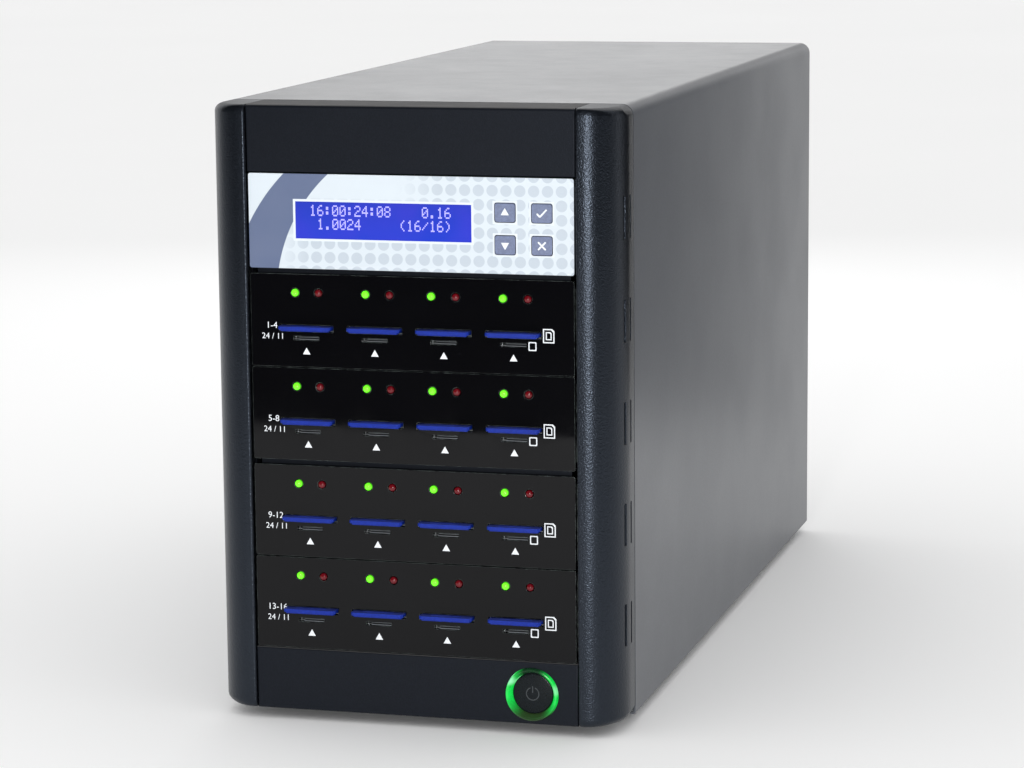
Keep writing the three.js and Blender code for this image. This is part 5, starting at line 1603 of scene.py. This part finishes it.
# A foot: its radii, and its heights
FOOT_TIP, FOOT_BROAD, FOOT_HOLE, FOOT_PEG = mm(7.6), mm(9), mm(3.2), mm(3)
FOOT_HOLE_DEPTH = mm(1.4)
FOOT_LAP, FOOT_CROWN, FOOT_CHAMFER_SHARE = mm(0.3), mm(1), 0.3


class TOWER_OT_feet(bpy.types.Operator):
    """Moulds the rubber feet"""
    bl_idname = "tower.feet"
    bl_label = "Feet"

    def execute(self, context):
        edge = context.scene.tower_case.foot_edge
        low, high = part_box("foot_1")
        centre = middle_of("foot_1")
        centre.z = 0
        corner, crown = edge * FOOT_CHAMFER_SHARE, UNDERSIDE + FOOT_CROWN
        foot = turned("foot", centre, [
            (FOOT_HOLE, FOOT_HOLE_DEPTH), (FOOT_HOLE, 0), (FOOT_TIP - edge, 0),
            (FOOT_TIP - corner, corner), (FOOT_TIP, edge), (FOOT_BROAD, UNDERSIDE + FOOT_LAP),
            (FOOT_BROAD - edge, crown), (FOOT_PEG, crown), (FOOT_PEG, high.z)],
            sides=40, axis="Z")
        smooth(foot, ROUND_SMOOTH)
        for number in range(1, 5):
            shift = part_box(f"foot_{number}")[0] - low
            each = copy_of(foot, f"rubber_foot_{number}", shift)
            dress(each, "rubber", "foot_rubber", ROOT, f"foot_{number}")
        bpy.data.meshes.remove(foot.data)
        return {"FINISHED"}


# The rear panel, the power supply's sheet and the grilles
VENTS, VENT_CORNER, PANEL_SHOULDER, PANEL_SOFT = 11, mm(0.8), mm(4.5), mm(0.12)
OPENING_FRONT, OPENING_BACK = mm(5), mm(2)
SHEET_MARGIN, SHEET_CORNER, SHEET_SOFT = mm(1), mm(0.4), mm(0.06)
SHEET_OPENINGS = {"psu_inlet": mm(0.15), "psu_rocker": mm(0.5)}
GRILLE_RINGS, GRILLE_REACH, GRILLE_BAR_REACH, SUPPLY_WEB = 3, mm(3), mm(4), mm(0.6)


class TOWER_OT_rear(bpy.types.Operator):
    """Cuts the rear panel and the power supply's rear sheet, with their grilles and openings"""
    bl_idname = "tower.rear"
    bl_label = "Rear"

    def execute(self, context):
        sizes = context.scene.tower_case
        low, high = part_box("rear_panel")
        psu_low, psu_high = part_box("psu_case")
        panel = box("panel", low, high)
        round_edges(panel, upper_folds(low, high), PANEL_SHOULDER, steps=8)
        lip = Vector((sizes.psu_lip, 0, sizes.psu_lip))
        openings = [self.opening(psu_low + lip, psu_high - lip)]
        top, wide = high.z - sizes.vent_drop, sizes.vent_width / 2
        for vent in range(VENTS):
            x = (vent - VENTS // 2) * sizes.vent_pitch
            slot = self.opening(Vector((x - wide, 0, top - sizes.vent_height)),
                                Vector((x + wide, 0, top)))
            round_edges(slot, running("y"), VENT_CORNER)
            openings.append(slot)
        cut(panel, joined("openings", openings))
        cut(panel, self.grille("case_fan_frame", high.y, sizes, 0))
        soften(panel, PANEL_SOFT)
        dress(panel, "rear_coat", "rear_paint", ROOT, "rear_panel")
        margin = Vector((SHEET_MARGIN, 0, SHEET_MARGIN))
        near, far = psu_low + margin, psu_high - margin
        near.y, far.y = psu_high.y, psu_high.y + sizes.psu_sheet
        sheet = box("sheet", near, far)
        openings = []
        for name, gap in SHEET_OPENINGS.items():
            part_low, part_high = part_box(name)
            margin = Vector((gap, 0, gap))
            opening = self.opening(part_low - margin, part_high + margin)
            round_edges(opening, running("y"), SHEET_CORNER, steps=2)
            openings.append(opening)
        cut(sheet, joined("openings", openings))
        cut(sheet, self.grille("psu_fan_rotor", psu_high.y, sizes, SUPPLY_WEB))
        soften(sheet, SHEET_SOFT)
        dress(sheet, "sheet_steel", "chassis_steel", ROOT)
        return {"FINISHED"}

    def opening(self, low, high):
        """A cutter through the rear panel and the power supply's rear sheet."""
        panel_low, panel_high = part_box("rear_panel")
        return box("opening", (low.x, panel_low.y - OPENING_FRONT, low.z),
                   (high.x, panel_high.y + OPENING_BACK, high.z))

    def grille(self, fan, level, sizes, narrower):
        """Ring slots before a fan, as one cutter."""
        middle = middle_of(fan)
        middle.y = level
        web = sizes.grille_web
        pitch = (sizes.fan_duct - sizes.grille_hub) / GRILLE_RINGS
        slots = []
        for ring in range(GRILLE_RINGS):
            inner = sizes.grille_hub + ring * pitch + web / 2
            slots.append(turned_ring("slot", middle, inner, inner + pitch - web - narrower,
                                     -GRILLE_REACH, GRILLE_REACH, sides=72))
        slots = joined("slots", slots)
        reach = Vector((sizes.fan_duct, GRILLE_BAR_REACH, web / 2))
        for turn in (45, -45):
            bar = box("bar", middle - reach, middle + reach)
            with editing(bar):
                bpy.ops.mesh.select_all(action="SELECT")
                bpy.ops.transform.rotate(value=math.radians(turn), orient_axis="Y",
                                         center_override=middle)
            cut(slots, bar)
        return slots


# A screw's head as shares of its radius, each with its place on the axis
SCREW_PROFILE = ((0.5, mm(-1)), (1, mm(-0.2)), (1, mm(0.5)), (0.85, mm(0.95)),
                 (0.5, mm(1.15)), (0.1, mm(1.2)))
CROSS_SHARE, CROSS_HALF, CROSS_START, CROSS_END = 0.5, mm(0.45), mm(0.5), mm(2)
SCREW_SOFT = mm(0.08)
SUPPLY_SCREW_SIDE, SUPPLY_SCREW_END = mm(4.2), mm(12)
PANEL_SCREW_SIDE, PANEL_SCREW_DROP = mm(15), mm(30)


class TOWER_OT_screws(bpy.types.Operator):
    """Sets cross-headed screws into the rear panel, the power supply and the fan"""
    bl_idname = "tower.screws"
    bl_label = "Screws"

    def execute(self, context):
        sizes = context.scene.tower_case
        radius = sizes.screw_head
        screw = turned("screw", (0, 0, 0), [(radius * part, at) for part, at in SCREW_PROFILE],
                       sides=20)
        long = radius * CROSS_SHARE
        for across, up in ((long, CROSS_HALF), (CROSS_HALF, long)):
            cut(screw, box("arm", (-across, CROSS_START, -up), (across, CROSS_END, up)))
        soften(screw, SCREW_SOFT)
        screws = [copy_of(screw, "screw_copy", place) for place in self.places(sizes)]
        dress(joined("rear_screws", screws), "screw_steel", "chassis_steel", ROOT)
        bpy.data.meshes.remove(screw.data)
        return {"FINISHED"}

    def places(self, sizes):
        """Where the screws are: round both fans, beside the power supply and up the panel."""
        panel_low, panel_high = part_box("rear_panel")
        psu_low, psu_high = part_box("psu_case")
        surface, half = panel_high.y, sizes.fan_screws / 2
        places = []
        for fan, level in (("case_fan_frame", surface),
                           ("psu_fan_rotor", psu_high.y + sizes.psu_sheet)):
            at = middle_of(fan)
            places += [(at.x + a * half, level, at.z + b * half)
                       for a in (-1, 1) for b in (-1, 1)]
        for sides, heights in (
                ((psu_low.x - SUPPLY_SCREW_SIDE, psu_high.x + SUPPLY_SCREW_SIDE),
                 (psu_low.z + SUPPLY_SCREW_END, psu_high.z - SUPPLY_SCREW_END)),
                ((panel_low.x + PANEL_SCREW_SIDE, panel_high.x - PANEL_SCREW_SIDE),
                 (panel_high.z - PANEL_SCREW_DROP, (panel_low.z + panel_high.z) / 2))):
            places += [(x, surface, z) for x in sides for z in heights]
        return places


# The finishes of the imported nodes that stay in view
NODE_FINISHES = {
    "chassis": "sheet_steel",
    "psu_case": "sheet_steel",
    "display_faceplate": "panel_plastic",
    "display_overlay": "label_print",
    "display_module": "display_board",
    "controller_board": "controller_board",
    "power_switch": "moulded_black",
    "psu_fan_rotor": "moulded_black",
    "psu_inlet": "moulded_black",
    "psu_rocker": "moulded_black",
    "case_fan_frame": "moulded_black",
    "case_fan_rotor": "moulded_black",
    **{f"reader_board_{row}": f"reader_board_{row}" for row in ROWS},
}


class TOWER_OT_frame_nodes(bpy.types.Operator):
    """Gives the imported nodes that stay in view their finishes"""
    bl_idname = "tower.frame_nodes"
    bl_label = "Frame nodes"

    def execute(self, context):
        for name, finish in NODE_FINISHES.items():
            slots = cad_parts[name].material_slots
            if not slots:
                raise RuntimeError(f"{name} has no material slot")
            for each in slots:
                each.material = bpy.data.materials[finish]
        return {"FINISHED"}


# The studio, in metres and radians
CAMERA_PLACE = Vector((0.415814, -1.575117, 0.388197))
CAMERA_YAW, CAMERA_PITCH, CAMERA_ROLL = 0.26788, 0.164359, -0.009066
SENSOR_WIDTH, CLIP_START, CLIP_END = 36, 0.05, 50
KEY_PLACE, KEY_AIM = Vector((0.26, -1.15, 0.72)), Vector((0.05, -0.2, 0.16))
KEY_SIZE = (0.34, 0.34)
STRIP_PLACE, STRIP_AIM = Vector((0.237, -1.717, 0.21)), Vector((0.08, -0.22, 0.16))
STRIP_SIZE = (0.12, 0.34)
BACK_PLACE, BACK_AIM = Vector((-0.35, 1.3, 0.75)), Vector((0.0, 0.0, 0.27))
BACK_SIZE = (0.6, 0.6)
FLAG_START, FLAG_END, FLAG_SIDE_END = -0.93, -2.2, 0.2
FLAG_LEFT, FLAG_RIGHT, FLAG_HEIGHT, FLAG_RISE = -2.4, 1.5, 2.2, mm(2)
SIDE_CARD_LOW, SIDE_CARD_HIGH = (0.22, 0.5, 0.012), (1.2, 0.51, 1.0)


def matt(name, paint, shade, scale, roughness, shine=0.5):
    """A matt paper or card, a little uneven."""
    finish = Finish(name)
    finish.give({"Base Color": finish.mix(finish.cloud(scale), lighter(paint, shade), paint),
                 "Roughness": roughness, "Specular IOR Level": shine})
    return bpy.data.materials[name]


class TOWER_OT_stage(bpy.types.Operator):
    """Sets up the floor, the dark cards, the light and the camera"""
    bl_idname = "tower.stage"
    bl_label = "Stage"

    def execute(self, context):
        sizes = context.scene.tower_studio
        bpy.ops.object.select_all(action="DESELECT")
        bpy.ops.mesh.primitive_plane_add(size=sizes.floor, location=(0, 0, 0))
        floor = settled("floor")
        floor.data.materials.append(matt("floor_paper", sizes.floor_white, shade=0.97,
                                         scale=1.5, roughness=0.85, shine=0.1))
        flags = self.dark_cards(sizes)
        self.light(context, sizes)
        self.camera(context, sizes)
        return {"FINISHED"}

    def dark_cards(self, sizes):
        """Dark cards before and beside the tower, seen only in its gloss."""
        cards = box("dark_cards", (FLAG_LEFT, FLAG_END, FLAG_RISE),
                    (FLAG_RIGHT, FLAG_SIDE_END, FLAG_HEIGHT))
        remove_faces(cards, lying_at(y=FLAG_SIDE_END))
        with editing(cards):
            bpy.ops.mesh.select_all(action="SELECT")
            bpy.ops.mesh.bisect(plane_co=(0, FLAG_START, 0), plane_no=(0, 1, 0))
        remove_faces(cards, lambda face: all(
            v.co.z < FLAG_RISE + CLOSE and v.co.y > FLAG_START - CLOSE for v in face.verts))
        side = box("side_card", SIDE_CARD_LOW, SIDE_CARD_HIGH)
        black = matt("card_black", sizes.flag_dark, shade=0.8, scale=2.0, roughness=0.95)
        for card in (cards, side):
            card.data.materials.append(black)
            card.visible_camera = card.visible_diffuse = card.visible_shadow = False
        return cards, side

    def light(self, context, sizes):
        """Even light from all round, and three soft lamps."""
        world = bpy.data.worlds.new("studio")
        world.use_nodes = True
        context.scene.world = world
        nodes = world.node_tree.nodes
        back = next(each for each in nodes if each.type == "BACKGROUND")
        sky = Wiring(world.node_tree, back)
        ray = sky.add("ShaderNodeLightPath").outputs
        seen = sky.sum_of("MAXIMUM", ray["Is Camera Ray"], sky.sum_of(
            "MAXIMUM", ray["Is Glossy Ray"], ray["Is Transmission Ray"]))
        sky.give({"Color": (1.0, 1.0, 1.0, 1.0),
                  "Strength": sky.ramp(seen, 0.0, 1.0, low=sizes.fill, kind="LINEAR")})
        for name, power, place, aim, size in (
                ("key_lamp", sizes.key, KEY_PLACE, KEY_AIM, KEY_SIZE),
                ("strip_lamp", sizes.strip, STRIP_PLACE, STRIP_AIM, STRIP_SIZE),
                ("back_lamp", sizes.back, BACK_PLACE, BACK_AIM, BACK_SIZE)):
            bpy.ops.object.select_all(action="DESELECT")
            bpy.ops.object.light_add(type="AREA", location=place)
            lamp = context.active_object
            lamp.name = lamp.data.name = name
            lamp.data.shape = "RECTANGLE"
            lamp.data.size, lamp.data.size_y = size
            lamp.data.energy = power
            lamp.rotation_euler = (aim - place).to_track_quat("-Z", "Y").to_euler()

    def camera(self, context, sizes):
        """The camera at the photograph's place and angle."""
        bpy.ops.object.select_all(action="DESELECT")
        bpy.ops.object.camera_add(location=CAMERA_PLACE)
        camera = context.active_object
        camera.name = camera.data.name = "photo_camera"
        ahead = Vector((-math.sin(CAMERA_YAW) * math.cos(CAMERA_PITCH),
                        math.cos(CAMERA_YAW) * math.cos(CAMERA_PITCH),
                        -math.sin(CAMERA_PITCH)))
        right = Vector((math.cos(CAMERA_YAW), math.sin(CAMERA_YAW), 0))
        up = right.cross(ahead)
        c, s = math.cos(CAMERA_ROLL), math.sin(CAMERA_ROLL)
        turn = Matrix((right * c + up * s, up * c - right * s, -ahead)).transposed()
        camera.matrix_world = Matrix.Translation(CAMERA_PLACE) @ turn.to_4x4()
        camera.data.lens = sizes.lens * 1000
        camera.data.sensor_width = SENSOR_WIDTH
        camera.data.clip_start, camera.data.clip_end = CLIP_START, CLIP_END
        context.scene.camera = camera
        context.scene.view_settings.view_transform = "Standard"


STEPS = (
    TOWER_OT_finishes,
    TOWER_OT_stage,
    TOWER_OT_cover,
    TOWER_OT_pillars,
    TOWER_OT_bezel,
    TOWER_OT_reader_plates,
    TOWER_OT_plate_print,
    TOWER_OT_lamps,
    TOWER_OT_cards,
    TOWER_OT_screen,
    TOWER_OT_keys,
    TOWER_OT_power_button,
    TOWER_OT_feet,
    TOWER_OT_rear,
    TOWER_OT_screws,
    TOWER_OT_frame_nodes,
)


class TOWER_PT_pieces(bpy.types.Panel):
    """Lists the steps that make the tower"""
    bl_idname = "TOWER_PT_pieces"
    bl_label = "Duplicator tower"
    bl_space_type = "VIEW_3D"
    bl_region_type = "UI"
    bl_category = "Duplicator"

    def draw(self, context):
        for step in STEPS:
            self.layout.operator(step.bl_idname)
        for name, group in SETTINGS.items():
            section = self.layout.box()
            for prop in group.__annotations__:
                section.prop(getattr(context.scene, name), prop)


def register():
    """Makes the settings, the operators and the panel known to Blender."""
    for name, group in SETTINGS.items():
        bpy.utils.register_class(group)
        setattr(bpy.types.Scene, name, bpy.props.PointerProperty(type=group))
    for each in (*STEPS, TOWER_PT_pieces):
        bpy.utils.register_class(each)


def unregister():
    """Takes them away again."""
    for each in (TOWER_PT_pieces, *reversed(STEPS)):
        bpy.utils.unregister_class(each)
    for name, group in SETTINGS.items():
        delattr(bpy.types.Scene, name)
        bpy.utils.unregister_class(group)


def main():
    """Makes every piece in order."""
    register()
    for step in STEPS:
        operator = getattr(bpy.ops.tower, step.bl_idname.split(".")[1])
        if operator() != {"FINISHED"}:
            raise RuntimeError(f"{step.bl_idname} did not finish")


if __name__ == "__main__":
    main()
